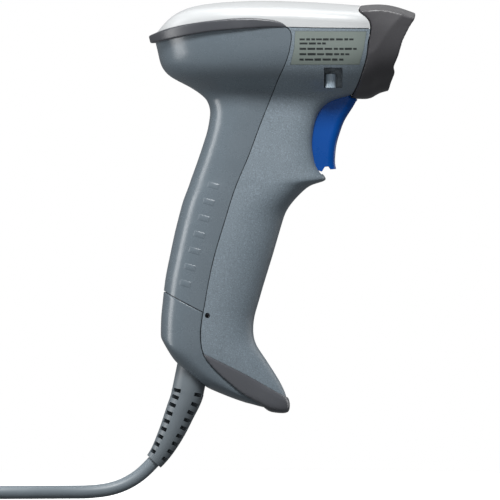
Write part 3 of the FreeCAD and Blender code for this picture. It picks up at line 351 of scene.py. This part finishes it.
def woven(name, colour):
    """Hook-and-loop strap: a plain weave under a felted pile."""
    s = Shader(name)
    thread = 0.55 * MM
    threads = s.maths("MULTIPLY", s.waves(thread, "X", 0.6), s.waves(thread, "Y", 0.6))
    fuzz = s.noise(0.3 * MM, detail=4)
    lit = s.maths("MULTIPLY", threads, fuzz)
    tone = s.colours(lit, (0.05, shade(colour, 0.5)), (0.5, shade(colour, 1.8)))
    s.bump((threads, 0.12 * MM), (fuzz, 0.08 * MM))
    return s.set(Base_Color=tone, Roughness=s.fit(fuzz, 0.3, 0.7, 0.75, 0.95), Sheen_Weight=0.4,
                 Sheen_Roughness=0.5)


GREY = (0.150, 0.186, 0.215)
# One finish for each of the record's slots, and a few more for pieces that differ from their slot.
FINISHES = {
    "housing_grey": moulded("housing_grey_finish", GREY, 0.45, spread=0.03, speck=0.34, depth=0.055 * MM),
    "housing_gloss": moulded("housing_gloss_finish", shade(GREY, 0.72), 0.26, spread=0.02, speck=0.12,
                             grain=0.6 * MM, depth=0.008 * MM, wave=0.015 * MM),
    "cover_white": moulded("cover_white_finish", (0.45, 0.463, 0.468), 0.34, spread=0.02, grain=0.6 * MM,
                           depth=0.01 * MM),
    "bezel_charcoal": moulded("bezel_charcoal_finish", (0.050, 0.049, 0.053), 0.40, spread=0.08, speck=0.06),
    "bumper_black": moulded("bumper_black_finish", (0.050, 0.053, 0.060), 0.33, spread=0.08, grain=0.35 * MM),
    # A lighter copy of the bumper rubber for the toe: painted light, for toe faces that tilt up towards the
    # key lamp.
    "toe_rubber": moulded("toe_painted_light_finish", (0.082, 0.086, 0.096), 0.30, spread=0.06, grain=0.35 * MM),
    "trigger_blue": moulded("trigger_blue_finish", (0.0, 0.056, 0.27), 0.28, spread=0.05, depth=0.006 * MM,
                            Specular_IOR_Level=0.25),
    "label_face": moulded("label_face_finish", (0.165, 0.195, 0.180), 0.36, spread=0.03, grain=0.3 * MM),
    "label_ink": moulded("label_ink_finish", (0.020, 0.024, 0.024), 0.40, spread=0.15, grain=0.3 * MM),
    "window_glass": clear("window_glass_finish", (0.42, 0.07, 0.09), 0.02, 1.5),
    "gasket_foam": moulded("gasket_foam_finish", (0.012, 0.012, 0.012), 0.9, grain=0.3 * MM, depth=0.12 * MM),
    "indicator_clear": clear("indicator_clear_finish", (0.80, 0.88, 0.85), 0.28, 1.46),
    "steel": metal("steel_finish", (0.58, 0.58, 0.60), 0.30, (1, 6, 1)),
    "spring_steel": metal("spring_steel_finish", (0.62, 0.62, 0.64), 0.2, (1, 1, 6)),
    "frame_black": moulded("frame_black_finish", (0.012, 0.012, 0.014), 0.5, spread=0.1),
    "board_green": board("board_green_finish"),
    "chip_black": moulded("chip_black_finish", (0.014, 0.014, 0.016), 0.55, spread=0.1, speck=0.1),
    "connector_white": moulded("connector_white_finish", (0.66, 0.63, 0.54), 0.45),
    "switch_black": moulded("switch_black_finish", (0.015, 0.015, 0.018), 0.5),
    "plunger_red": moulded("plunger_red_finish", (0.30, 0.012, 0.012), 0.35),
    "casting_grey": metal("casting_grey_finish", (0.30, 0.30, 0.32), 0.5),
    "lens_glass": clear("lens_glass_finish", (0.72, 0.78, 0.95), 0.0, 1.6),
    "led_white": moulded("led_white_finish", (0.80, 0.76, 0.45), 0.2, Coat_Weight=0.6),
    "flex_amber": moulded("flex_amber_finish", (0.36, 0.13, 0.02), 0.28),
    "contact_gold": metal("contact_gold_finish", (0.78, 0.55, 0.20), 0.22, (6, 1, 1)),
    "plug_clear": clear("plug_clear_finish", (0.80, 0.83, 0.84), 0.12, 1.45),
    "cable_grey": moulded("cable_grey_finish", (0.150, 0.180, 0.202), 0.42, spread=0.04, grain=0.7 * MM),
    # The housing's grey made much lighter for the lanyard post: a painted highlight on the lit post.
    "post_grey": moulded("post_painted_highlight_finish", shade(GREY, 2.4), 0.3, spread=0.03),
    "relief_grey": moulded("relief_grey_finish", (0.112, 0.133, 0.148), 0.45, spread=0.04, grain=0.6 * MM),
    "tie_black": woven("tie_black_finish", (0.022, 0.022, 0.025)),
    "wire_red": moulded("wire_red_finish", (0.28, 0.02, 0.015), 0.4),
    "tongue_white": moulded("tongue_white_finish", (0.74, 0.74, 0.72), 0.4),
}
# The nodes that don't wear their own slot's finish.
NODE_FINISHES = {
    "rear_cover": "housing_gloss",
    "heel_cover": "housing_gloss",
    "strain_relief": "relief_grey",
    # painted highlight: the lanyard post wears a lighter copy of the housing grey.
    "lanyard_post": "post_grey",
    # painted light: the toe wears a lighter copy of the bumper rubber.
    "toe_bumper": "toe_rubber",
}


def dress_nodes():
    """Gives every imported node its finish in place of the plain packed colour."""
    for name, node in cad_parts.items():
        for i, plain in enumerate(node.data.materials):
            node.data.materials[i] = FINISHES[NODE_FINISHES.get(name, plain.name.split(".")[0])]


def add_piece(name, mesh_or_curve, slot, body="housing", stands_for=(), finish=None):
    """Links a new piece, or finishes one that is linked, with the finish given or else its slot's finish, and
    rides it on its body.
    """
    piece = mesh_or_curve
    if not isinstance(piece, bpy.types.Object):
        piece = bpy.data.objects.new(name, mesh_or_curve)
        bpy.context.scene.collection.objects.link(piece)
    piece.data.materials.clear()
    piece.data.materials.append(FINISHES[finish or slot])
    if stands_for:
        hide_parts(*stands_for)
    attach(piece, body)
    return piece


# ------------------------------------------------------------------ stage
WORLD_LIGHT = 0.16
FLOOR_CENTRE = (-0.02, 0.05)
FLOOR_RADIUS = 0.75
FLOOR_DROP = 0.02 * MM
FADE_FROM = 0.35
FADE_TO = 0.74


def make_world():
    """A world that is white to the camera and a dim, cool light to the object."""
    scene = bpy.context.scene
    scene.view_settings.view_transform = "Standard"
    scene.view_settings.look = "None"
    world = bpy.data.worlds.new("studio")
    scene.world = world
    world.use_nodes = True
    tree = world.node_tree
    tree.nodes.clear()
    output = tree.nodes.new("ShaderNodeOutputWorld")
    seen = tree.nodes.new("ShaderNodeBackground")
    seen.inputs[0].default_value = (1, 1, 1, 1)
    seen.inputs[1].default_value = 1.0
    lit = tree.nodes.new("ShaderNodeBackground")
    lit.inputs[0].default_value = (0.93, 0.96, 1.0, 1)
    lit.inputs[1].default_value = WORLD_LIGHT
    mix = tree.nodes.new("ShaderNodeMixShader")
    ray = tree.nodes.new("ShaderNodeLightPath")
    tree.links.new(ray.outputs["Is Camera Ray"], mix.inputs[0])
    tree.links.new(lit.outputs[0], mix.inputs[1])
    tree.links.new(seen.outputs[0], mix.inputs[2])
    tree.links.new(mix.outputs[0], output.inputs[0])


def make_floor():
    """A round floor that glows a little and fades to nothing at its rim."""
    bpy.ops.mesh.primitive_circle_add(vertices=96, radius=FLOOR_RADIUS, fill_type="TRIFAN",
                                      location=(*FLOOR_CENTRE, FLOOR_Z - FLOOR_DROP))
    floor = bpy.context.object
    floor.name = "floor"
    s = Shader("floor_finish")
    s.set(Base_Color=(0.93, 0.93, 0.93), Roughness=0.75, Emission_Color=(1.0, 1.0, 1.0),
          Emission_Strength=0.55)
    from_centre = s.nodes.new("ShaderNodeVectorMath")
    from_centre.operation = "LENGTH"
    s.link(s.place, from_centre.inputs[0])
    fade = s.fit(from_centre.outputs["Value"], FADE_FROM, FADE_TO, 0, 1)
    nothing = s.nodes.new("ShaderNodeBsdfTransparent")
    blend = s.nodes.new("ShaderNodeMixShader")
    s.link(fade, blend.inputs[0])
    s.link(s.surface.outputs[0], blend.inputs[1])
    s.link(nothing.outputs[0], blend.inputs[2])
    s.link(blend.outputs[0], s.output.inputs[0])
    floor.data.materials.append(s.material)
    floor.visible_diffuse = False
    floor.visible_glossy = False


def area_light(name, azimuth, elevation, distance, size, watts):
    """A lamp that points at the origin. Azimuth 0 is the camera's side, and 90 is the nose's."""
    a = math.radians(azimuth)
    e = math.radians(elevation)
    way = Vector((math.sin(a) * math.cos(e), -math.cos(a) * math.cos(e), math.sin(e)))
    data = bpy.data.lights.new(name, "AREA")
    data.shape = "RECTANGLE"
    data.size, data.size_y = size
    data.energy = watts
    lamp = bpy.data.objects.new(name, data)
    bpy.context.scene.collection.objects.link(lamp)
    lamp.location = way * distance
    lamp.visible_camera = False
    lamp.rotation_euler = (-way * distance).to_track_quat("-Z", "Y").to_euler()
    return lamp


def make_lights():
    area_light("key", -6, 45, 1.4, (0.6, 0.4), 24)
    area_light("top", 0, 88, 1.1, (0.9, 0.5), 6)
    area_light("left_strip", -82, 6, 1.1, (0.40, 1.0), 8)
    fill = area_light("front_fill", 0, -4, 1.6, (1.2, 0.8), 5)
    fill.visible_glossy = False
    area_light("rear_right", 125, 15, 1.0, (0.25, 0.9), 2)
    area_light("back", 180, 30, 1.2, (0.9, 0.4), 0.7)


# ------------------------------------------------------------------ details that lie on the shells
def search_tree(*names):
    """A search tree over the meshes of several nodes at rest."""
    places, faces = [], []
    for name in names:
        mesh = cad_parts[name].data
        first = len(places)
        places += [v.co.copy() for v in mesh.vertices]
        faces += [[first + i for i in face.vertices] for face in mesh.polygons]
    return BVHTree.FromPolygons(places, faces)


def through(points, count):
    """count + 1 points spread along a smooth line through points, each a Vector."""
    padded = [2 * points[0] - points[1]] + points + [2 * points[-1] - points[-2]]
    places = []
    spans = len(points) - 1
    for i in range(count + 1):
        where = i * spans / count
        k = min(int(where), spans - 1)
        t = where - k
        a, b, c, d = padded[k:k + 4]
        places.append(0.5 * (2 * b + (c - a) * t + (2 * a - 5 * b + 4 * c - d) * t ** 2
                             + (3 * b - a - 3 * c + d) * t ** 3))
    return places


def grid_slab(bm, front, back):
    """A closed slab between two equal grids of points."""
    layers = [[[bm.verts.new(p) for p in row] for row in grid] for grid in (front, back)]
    rows, columns = len(front), len(front[0])
    for layer, flip in zip(layers, (False, True)):
        for i in range(rows - 1):
            for j in range(columns - 1):
                face = [layer[i][j], layer[i + 1][j], layer[i + 1][j + 1], layer[i][j + 1]]
                bm.faces.new(face[::-1] if flip else face)
    edge = [(i, 0) for i in range(rows)]
    edge += [(rows - 1, j) for j in range(1, columns)]
    edge += [(i, columns - 1) for i in range(rows - 2, -1, -1)]
    edge += [(0, j) for j in range(columns - 2, 0, -1)]
    for (i, j), (k, l) in zip(edge, edge[1:] + edge[:1]):
        bm.faces.new([layers[0][k][l], layers[0][i][j], layers[1][i][j], layers[1][k][l]])


def mesh_from(name, bm, smooth=True):
    """The finished mesh of bm, with its faces turned outwards."""
    bmesh.ops.recalc_face_normals(bm, faces=bm.faces)
    mesh = bpy.data.meshes.new(name)
    bm.to_mesh(mesh)
    bm.free()
    for face in mesh.polygons:
        face.use_smooth = smooth
    return mesh


SIDES = (("near", -1), ("far", 1))
SHELLS = search_tree("front_housing", "rear_cover", "heel_cover", "top_cover", "nose_bezel")
HALVES_LINE = [
    (30.1, 98.3), (31.0, 96.3), (30.9, 92.9), (30.1, 88.3), (28.1, 82.1), (25.2, 75.8), (22.4, 68.9),
    (19.0, 60.4), (15.0, 50.1), (11.3, 40.0), (5.0, 24.9), (0.0, 9.2), (-4.4, -5.3), (-7.6, -19.1),
    (-9.8, -31.7), (-11.3, -42.3), (-11.3, -47.1), (-9.7, -54.1), (0.0, -62.0), (14.1, -71.4),
    (22.0, -75.4),
]
HEEL_LINE = [(-36.0, -19.8), (-27.4, -24.7), (-18.3, -29.7), (-8.0, -35.1)]
NOSE_LINE = [
    (55.0, 57.0), (57.0, 61.5), (59.0, 66.6), (62.3, 73.3), (64.6, 79.9), (66.3, 86.5), (67.1, 93.1),
    (68.1, 99.5),
]
COVER_LINE = [
    (-27.0, 96.3), (-21.2, 97.1), (-2.4, 99.0), (16.5, 99.6), (28.1, 99.5), (45, 99.1), (66.0, 98.9),
]
LIP_HALF = 1.7 * MM
LIP_THICK = 0.8 * MM
LIP_STEP = 2 * MM
LIP_LEAST_DEPTH = 2 * MM
SEAM_PROBE = 0.7 * LIP_HALF       # how far beside the seam the shells' depth is felt
SEAM_GAP = 0.12 * MM
RING_PROBE = 0.75 * LIP_HALF
RING_GAP = 0.1 * MM
FIRST_REACH = 12 * MM
FIN_HALF = 0.35 * MM
FIN_SHIFT = 0.20 * MM
FIN_SUNK = 0.30 * MM
FIN_ROOT = 0.4 * MM
FIN_REACH = 3.2 * MM


def seam_lip(name, line, side):
    """The tongue inside a seam: a strip just behind the gap, on the shells' inner faces. It is black, as
    painted shade, so the gap reads dark.
    """
    points = [Vector((x, 0, z)) * MM for x, z in line]
    length = sum((b - a).length for a, b in zip(points, points[1:]))
    spine = through(points, int(length / LIP_STEP))
    rows, depths = [], []
    for i, place in enumerate(spine):
        along = (spine[min(i + 1, len(spine) - 1)] - spine[max(i - 1, 0)]).normalized()
        beside = Vector((-along.z, 0, along.x))
        hits = []
        for shift in (-SEAM_PROBE, SEAM_PROBE):
            hit = SHELLS.ray_cast(place + beside * shift, Vector((0, side, 0)))[0]
            if hit:
                hits.append(abs(hit.y))
        last = depths[-1] if depths else 0.0
        depths.append(min(hits) if hits else last)
        rows.append((place, beside))
    front, back = [], []
    for i, (place, beside) in enumerate(rows):
        depth = min(depths[max(0, i - 1):i + 2]) - SEAM_GAP
        if depth < LIP_LEAST_DEPTH:
            continue
        inner = place + Vector((0, side * depth, 0))
        front.append([inner + beside * w for w in (-LIP_HALF, 0, LIP_HALF)])
        back.append([p - Vector((0, side * LIP_THICK, 0)) for p in front[-1]])
    bm = bmesh.new()
    grid_slab(bm, front, back)
    add_piece(name, mesh_from(name, bm), "frame_black")


def read_line(pairs, value):
    """The second number of a line of pairs where its first is value."""
    ordered = sorted(pairs)
    for (x0, y0), (x1, y1) in zip(ordered, ordered[1:]):
        if value <= x1:
            break
    return y0 + (y1 - y0) * (value - x0) / (x1 - x0)


def shell_faces(foot, along, level, way):
    """How far the shell's inner and outer faces are beside a seam at level, or None for no shell."""
    inner, outer = [], []
    for shift in (-RING_PROBE, RING_PROBE):
        origin = foot + along * (level + shift)
        hit = SHELLS.ray_cast(origin, way)[0]
        if hit:
            inner.append((hit - origin).length)
            top = SHELLS.ray_cast(hit + way * 0.05 * MM, way)[0]
            if top:
                outer.append((top - origin).length)
    return (min(inner), min(outer)) if outer else None


def ring_lip(name, centre, frame_axes, line, angles, rows):
    """The tongue inside a seam that runs around a shell, with a fin that fills the seam's gap; both are
    black, as painted shade in the gap. line gives the seam's place along the third of frame_axes from
    its place along the first, both in millimetres."""
    first, second, along = (Vector(axis) for axis in frame_axes)
    foot = first * centre
    front, back, fin_left, fin_right = [], [], [], []
    for i in range(rows + 1):
        turn = math.radians(angles[0] + (angles[1] - angles[0]) * i / rows)
        way = first * math.cos(turn) + second * math.sin(turn)
        reach = FIRST_REACH
        for _ in range(5):
            level = read_line(line, (centre + reach * math.cos(turn)) / MM) * MM
            faces = shell_faces(foot, along, level, way)
            if not faces:
                break
            reach = faces[0]
        if not faces:
            continue
        place = foot + along * level + way * (reach - RING_GAP)
        front.append([place + along * w for w in (-LIP_HALF, 0, LIP_HALF)])
        back.append([p - way * LIP_THICK for p in front[-1]])
        rim = min(faces[1], reach + FIN_REACH) - FIN_SUNK
        fin = []
        for far in (reach - FIN_ROOT, (reach + rim) / 2, max(rim, reach)):
            own = read_line(line, (centre + far * math.cos(turn)) / MM) * MM
            fin.append(foot + way * far + along * (own + FIN_SHIFT))
        fin_left.append([p - along * FIN_HALF for p in fin])
        fin_right.append([p + along * FIN_HALF for p in fin])
    bm = bmesh.new()
    grid_slab(bm, front, back)
    grid_slab(bm, fin_left, fin_right)
    add_piece(name, mesh_from(name, bm, smooth=False), "frame_black")


def seam_lips():
    """All the tongues, black as painted shade in the seams: two seams that run along the sides, and two that
    run around a shell.
    """
    for line_name, line in (("halves", HALVES_LINE), ("cover", COVER_LINE)):
        for side_name, side in SIDES:
            seam_lip(f"{line_name}_lip_{side_name}", line, side)
    ring_lip("heel_lip", -19.0 * MM, ((1, 0, 0), (0, 1, 0), (0, 0, 1)), HEEL_LINE, (52, 308), 110)
    upright_nose_line = [(z, x) for x, z in NOSE_LINE]
    ring_lip("nose_lip", 84.0 * MM, ((0, 0, 1), (0, 1, 0), (1, 0, 0)), upright_nose_line, (72, 288), 110)


OUTSIDE = 0.1       # further out than any shell, to look inwards from
PATCH_SUNK = 0.15 * MM


def on_side(tree, x, z, side, lift=0.0):
    """The point of the outer side at x, z, raised by lift along the surface's normal."""
    hit, normal, _, _ = tree.ray_cast(Vector((x, side * OUTSIDE, z)), Vector((0, -side, 0)))
    if hit is None:
        return None
    if normal.y * side < 0:
        normal = -normal
    return hit + normal * lift


def side_patch(bm, tree, corners, rows, columns, side, height):
    """A slab on the side whose corners are x, z pairs, and whose height is a function of u and v.
    It is left out where it would reach past the shell."""
    a, b, c, d = corners
    front, back = [], []
    for i in range(rows + 1):
        u = i / rows
        front.append([])
        back.append([])
        for j in range(columns + 1):
            v = j / columns
            x = (1 - u) * ((1 - v) * a[0] + v * b[0]) + u * ((1 - v) * d[0] + v * c[0])
            z = (1 - u) * ((1 - v) * a[1] + v * b[1]) + u * ((1 - v) * d[1] + v * c[1])
            if on_side(tree, x, z, side) is None:
                return
            front[-1].append(on_side(tree, x, z, side, height(u, v)))
            back[-1].append(on_side(tree, x, z, side, -PATCH_SUNK))
    grid_slab(bm, front, back)


def label_marks():
    """Plain dashes in rows in place of the label's print."""
    low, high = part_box("side_label")
    tree = search_tree("side_label")
    rng = random.Random(7)
    left = low.x + 4.2 * MM
    right = high.x - 4.6 * MM
    shortest = 1.2 * MM
    ink = 0.05 * MM
    # Each row's place down the label and its share of the label's width.
    rows = ((0.247, 1.0), (0.37, 0.46), (0.53, 1.0), (0.69, 0.90), (0.85, 0.80))
    bm = bmesh.new()
    for down, share in rows:
        z = high.z - down * (high.z - low.z)
        x = left
        end = left + share * (right - left)
        while x < end - shortest:
            stop = min(end, x + rng.uniform(1.6, 4.2) * MM)
            tall = rng.uniform(0.42, 0.52) * MM
            corners = ((x, z - tall), (stop, z - tall), (stop, z + tall), (x, z + tall))
            side_patch(bm, tree, corners, 2, 6, -1, lambda u, v: ink)
            x = stop + rng.uniform(0.45, 0.8) * MM
    add_piece("label_marks", mesh_from("label_marks", bm, smooth=False), "label_face", finish="label_ink")


PAD_COUNT = 7
PAD_TOP = Vector((-5.4, 0, 25.5)) * MM
PAD_BOTTOM = Vector((-18.6, 0, -20.5)) * MM
PAD_HALF_LONG = 1.55 * MM
PAD_HALF_WIDE = 2.9 * MM
PAD_HEIGHT = 0.2 * MM
PAD_SUNK = 0.04 * MM


def pad_height(u, v):
    """A flat top that falls off towards the pad's rim, where it goes under the shell's surface."""
    return PAD_HEIGHT * (1 - max(abs(2 * u - 1) ** 2.6, abs(2 * v - 1) ** 4)) - PAD_SUNK


def grip_pads():
    """Low pads in a row down the back of the grip, on both sides."""
    tree = search_tree("rear_cover")
    along = (PAD_BOTTOM - PAD_TOP).normalized()
    beside = Vector((along.z, 0, -along.x))
    for side_name, side in SIDES:
        bm = bmesh.new()
        for i in range(PAD_COUNT):
            centre = PAD_TOP.lerp(PAD_BOTTOM, i / (PAD_COUNT - 1))
            corners = [centre + along * a * PAD_HALF_LONG + beside * b * PAD_HALF_WIDE
                       for a, b in ((-1, -1), (-1, 1), (1, 1), (1, -1))]
            side_patch(bm, tree, [(c.x, c.z) for c in corners], 10, 14, side, pad_height)
        name = f"grip_pads_{side_name}"
        add_piece(name, mesh_from(name, bm), "housing_grey", finish="housing_gloss")


# ------------------------------------------------------------------ moulded pieces with soft edges
def evaluated_mesh(piece, name):
    """A new mesh of the piece as its modifiers leave it."""
    bpy.context.view_layer.update()
    graph = bpy.context.evaluated_depsgraph_get()
    mesh = bpy.data.meshes.new_from_object(piece.evaluated_get(graph))
    mesh.name = name
    return mesh


def everywhere(place):
    return 1.0


def softened(name, node, voxel, passes, swell, weight=everywhere):
    """A moulded piece that stands for a sharp-edged node, rounded and swollen as much as weight says
    at each place."""
    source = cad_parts[node]
    piece = bpy.data.objects.new(name, source.data.copy())
    bpy.context.scene.collection.objects.link(piece)
    even = piece.modifiers.new("even_mesh", "REMESH")
    even.mode = "VOXEL"
    even.voxel_size = voxel
    even.use_smooth_shade = True
    piece.data = evaluated_mesh(piece, name)
    piece.modifiers.clear()
    group = piece.vertex_groups.new(name="eased")
    steps = {}
    for vertex in piece.data.vertices:
        share = round(max(0.0, min(1.0, weight(vertex.co / MM))), 2)
        steps.setdefault(share, []).append(vertex.index)
    for share, members in steps.items():
        group.add(members, share, "REPLACE")
    rounding = piece.modifiers.new("rounding", "SMOOTH")
    rounding.factor = 0.5
    rounding.iterations = passes
    rounding.vertex_group = "eased"
    filling = piece.modifiers.new("filling", "DISPLACE")
    filling.strength = swell
    filling.mid_level = 0.0
    filling.vertex_group = "eased"
    piece.data = evaluated_mesh(piece, name)
    piece.modifiers.clear()
    piece.vertex_groups.clear()
    piece.data.materials.clear()
    piece.data.materials.append(source.data.materials[0])
    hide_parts(node)
    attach(piece, "housing")


def beside_line(place, pairs):
    """How far a place is from a line of x, z pairs, seen from the side, in millimetres."""
    point = Vector((place.x, place.z))
    lengths = []
    for a, b in zip(pairs, pairs[1:]):
        a, b = Vector(a), Vector(b)
        share = max(0.0, min(1.0, (point - a).dot(b - a) / (b - a).length_squared))
        lengths.append((point - a.lerp(b, share)).length)
    return min(lengths)


# In millimetres: the toe's upper rim, and the line on which the cable leaves the heel.
TOE_RIM = [(-10.3, -53.3), (1.5, -59.0), (14.7, -65.9), (25.2, -71.9), (31.0, -74.7), (36.0, -77.0)]
EXIT_AT = (-17.5, -71.4)
EXIT_LEAN = 0.2
EXIT_KEPT = 10.5
SEAM_KEPT = 1.0
HEEL_EASE = 3.0
RIM_EASE = 2.2
TAIL_SHARE = 0.04


def heel_weight(place):
    """No rounding at the seams or around the cable's exit."""
    exit_x = EXIT_AT[0] + EXIT_LEAN * (place.z - EXIT_AT[1])
    from_exit = math.hypot(place.x - exit_x, place.y) - EXIT_KEPT
    from_seams = min(beside_line(place, HEEL_LINE), beside_line(place, HALVES_LINE)) - SEAM_KEPT
    return min(from_exit, from_seams) / HEEL_EASE


def toe_weight(place):
    """The tip is rounder than the thin tail, and the upper rim keeps its line."""
    from_rim = min(1.0, beside_line(place, TOE_RIM) / RIM_EASE)
    return TAIL_SHARE + (1 - TAIL_SHARE) * ease(place.x, 6.0, 22.0) * from_rim


def soft_pieces():
    softened("heel_shell", "heel_cover", 0.42 * MM, 100, 0.0, heel_weight)
    softened("toe_boot", "toe_bumper", 0.4 * MM, 170, 0.45 * MM, toe_weight)
    softened("head_band", "rear_bumper", 0.4 * MM, 8, 0.15 * MM)
    softened("nose_boot", "nose_bezel", 0.45 * MM, 4, 0.08 * MM)


# ------------------------------------------------------------------ trigger
CROWN_OUTLINE = [
    (56.4, 67.4), (57.3, 68.5), (58.9, 68.6), (59.8, 67.5), (61.2, 66.6), (62.3, 65.8), (61.4, 64.8),
]
CROWN_FOOT = Vector((57.0, 0, 65.6))
CROWN_HALF = 9.9
CROWN_COLUMNS = 12


def trigger_crown():
    """The blue edge that closes the gap between the trigger and the nose. It narrows at both ends."""
    front, back = [], []
    for x, z in CROWN_OUTLINE:
        rise_x, rise_z = x - CROWN_FOOT.x, z - CROWN_FOOT.z
        front.append([])
        back.append([])
        for j in range(CROWN_COLUMNS + 1):
            y = CROWN_HALF * (2 * j / CROWN_COLUMNS - 1)
            side = 1 - 0.25 * max(0.0, abs(y) / CROWN_HALF - 0.8) / 0.2
            front[-1].append(Vector((CROWN_FOOT.x + rise_x * side, y, CROWN_FOOT.z + rise_z * side)) * MM)
            back[-1].append(Vector((CROWN_FOOT.x + rise_x * 0.5, y, CROWN_FOOT.z - 0.6)) * MM)
    bm = bmesh.new()
    grid_slab(bm, front, back)
    add_piece("trigger_crown", mesh_from("trigger_crown", bm), "trigger_blue", body="trigger")


SPRING_WIRE = 0.34 * MM
SPRING_TURNS = 7.5
SPRING_STEPS = 260
SPRING_SIDES = 10


def spring_rings(bm, low, high):
    """Rings of points round the wire of a spring along X that fills the box, with close end turns."""
    wire = SPRING_WIRE
    centre = (low + high) / 2
    radius = (high.z - low.z) / 2 - wire
    flat = 0.75 / SPRING_TURNS
    rings = []
    for i in range(SPRING_STEPS + 1):
        share = i / SPRING_STEPS
        travel = min(1.0, max(0.0, (share - flat * 0.6) / (1 - 1.2 * flat)))
        angle = math.tau * SPRING_TURNS * share
        outward = Vector((0, math.cos(angle), math.sin(angle)))
        middle = Vector((low.x + wire + travel * (high.x - low.x - 2 * wire),
                         centre.y + radius * math.cos(angle), centre.z + radius * math.sin(angle)))
        ring = []
        for k in range(SPRING_SIDES):
            turn = math.tau * k / SPRING_SIDES
            off = outward * wire * math.cos(turn) + Vector((wire * math.sin(turn), 0, 0))
            ring.append(bm.verts.new(middle + off))
        rings.append(ring)
    return rings


def return_spring():
    """The spring behind the trigger, built at rest; the real one shortens as the trigger is pulled."""
    low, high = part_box("trigger_spring")
    bm = bmesh.new()
    rings = spring_rings(bm, low, high)
    for a, b in zip(rings, rings[1:]):
        for k in range(SPRING_SIDES):
            after = (k + 1) % SPRING_SIDES
            bm.faces.new([a[k], a[after], b[after], b[k]])
    bm.faces.new(rings[0][::-1])
    bm.faces.new(rings[-1])
    piece = bpy.data.objects.new("return_spring", mesh_from("return_spring", bm))
    bpy.context.scene.collection.objects.link(piece)
    piece.data.materials.append(FINISHES["spring_steel"])
    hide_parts("trigger_spring")
    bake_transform(piece)


# ------------------------------------------------------------------ straps round the coil
STRAP_THICK = 0.85 * MM
STRAP_WIDTH = 10 * MM
STRAP_CORNER = 3.6 * MM
STRAP_OVERLAP = 17 * MM
STRAP_STEP = 0.9 * MM
STRAP_COLUMNS = 10
STRAP_TURNS = (20, 92)
FROM_FLOOR = 0.12 * MM
FROM_CABLE = 0.1 * MM
HEM_HEIGHT = 0.16 * MM
HEM_FROM = 0.75
TIP_ROWS = 5
TIP_WIDTH = 0.62


def around_section(low, high, corner):
    """Points and outward directions once around a rounded rectangle, from the middle of its top."""
    centre = (low + high) / 2
    half = (high - low) / 2 - Vector((corner, corner))
    turns = []
    for k, (sx, sz) in enumerate(((1, 1), (1, -1), (-1, -1), (-1, 1))):
        middle = centre + Vector((sx * half.x, sz * half.y))
        for j in range(9):
            angle = math.radians(90 - 90 * k - 90 * j / 8)
            way = Vector((math.cos(angle), math.sin(angle)))
            turns.append((middle + way * corner, way))
    start = (Vector((centre.x, high.y)), Vector((0, 1)))
    return [start] + turns + [start]


def spread_evenly(loop, step):
    """Places and directions a step apart along a loop of them."""
    made = [loop[0]]
    carried = 0.0
    for (a, m), (b, n) in zip(loop, loop[1:]):
        span = (b - a).length
        where = step - carried
        while where <= span:
            share = where / span
            made.append((a.lerp(b, share), m.lerp(n, share).normalized()))
            where += step
        carried = span - (where - step)
    return made


def strap_path():
    """Places, outward directions and lifts along a strap, in the plane across the coil's ring. It goes
    once round the coil, and then on over its own start."""
    gap = STRAP_THICK / 2 + FROM_CABLE
    low = Vector((COIL_INNER - CORD_D / 2 - gap, FLOOR_Z + STRAP_THICK / 2 + FROM_FLOOR))
    high = Vector((COIL_OUTER + CORD_D / 2 + gap, FLOOR_Z + COIL_LIFT + 2 * CORD_D + gap))
    once = spread_evenly(around_section(low, high, STRAP_CORNER), STRAP_STEP)
    path = [(p, n, 0.0) for p, n in once]
    for i, (p, n) in enumerate(once[:int(STRAP_OVERLAP / STRAP_STEP)]):
        path.append((p, n, 1.05 * STRAP_THICK * ease(i, 0, 5)))
    return path


def strap(bm, degrees):
    """A hook-and-loop strap with raised hems, which closes over itself on top of the coil."""
    turn = math.radians(degrees)
    radial = Vector((math.cos(turn), math.sin(turn), 0))
    tangent = Vector((-math.sin(turn), math.cos(turn), 0))
    centre = Vector((COIL_CENTRE.x, COIL_CENTRE.y, 0))
    path = strap_path()
    front, back = [], []
    for i, (p, n, lift) in enumerate(path):
        from_tip = len(path) - 1 - i
        narrow = 1.0
        if from_tip < TIP_ROWS:
            inwards = (TIP_ROWS - 1 - from_tip) / TIP_ROWS
            narrow = TIP_WIDTH + (1 - TIP_WIDTH) * math.sqrt(max(0.0, 1 - inwards ** 2))
        front.append([])
        back.append([])
        for j in range(STRAP_COLUMNS + 1):
            across = 2 * j / STRAP_COLUMNS - 1
            hem = HEM_HEIGHT * (abs(across) > HEM_FROM)
            for grid, height in ((front, lift + STRAP_THICK / 2 + hem - HEM_HEIGHT / 2),
                                 (back, lift - STRAP_THICK / 2 + HEM_HEIGHT / 4)):
                flat = p + n * height
                grid[-1].append(centre + radial * flat.x + tangent * across * narrow * STRAP_WIDTH / 2
                                + Vector((0, 0, flat.y)))
    grid_slab(bm, front, back)


def make_straps():
    bm = bmesh.new()
    for degrees in STRAP_TURNS:
        strap(bm, degrees)
    return add_piece("coil_straps", mesh_from("coil_straps", bm), "tie_black", stands_for=("cord_ties",))


# ------------------------------------------------------------------ build
make_camera()
cable = make_cord()
make_world()
make_floor()
make_lights()
dress_nodes()
add_piece("cable", cable, "cable_grey", stands_for=("cord", "cord_coil", "cord_tail"))
seam_lips()
label_marks()
grip_pads()
soft_pieces()
trigger_crown()
return_spring()
coil_straps = make_straps()
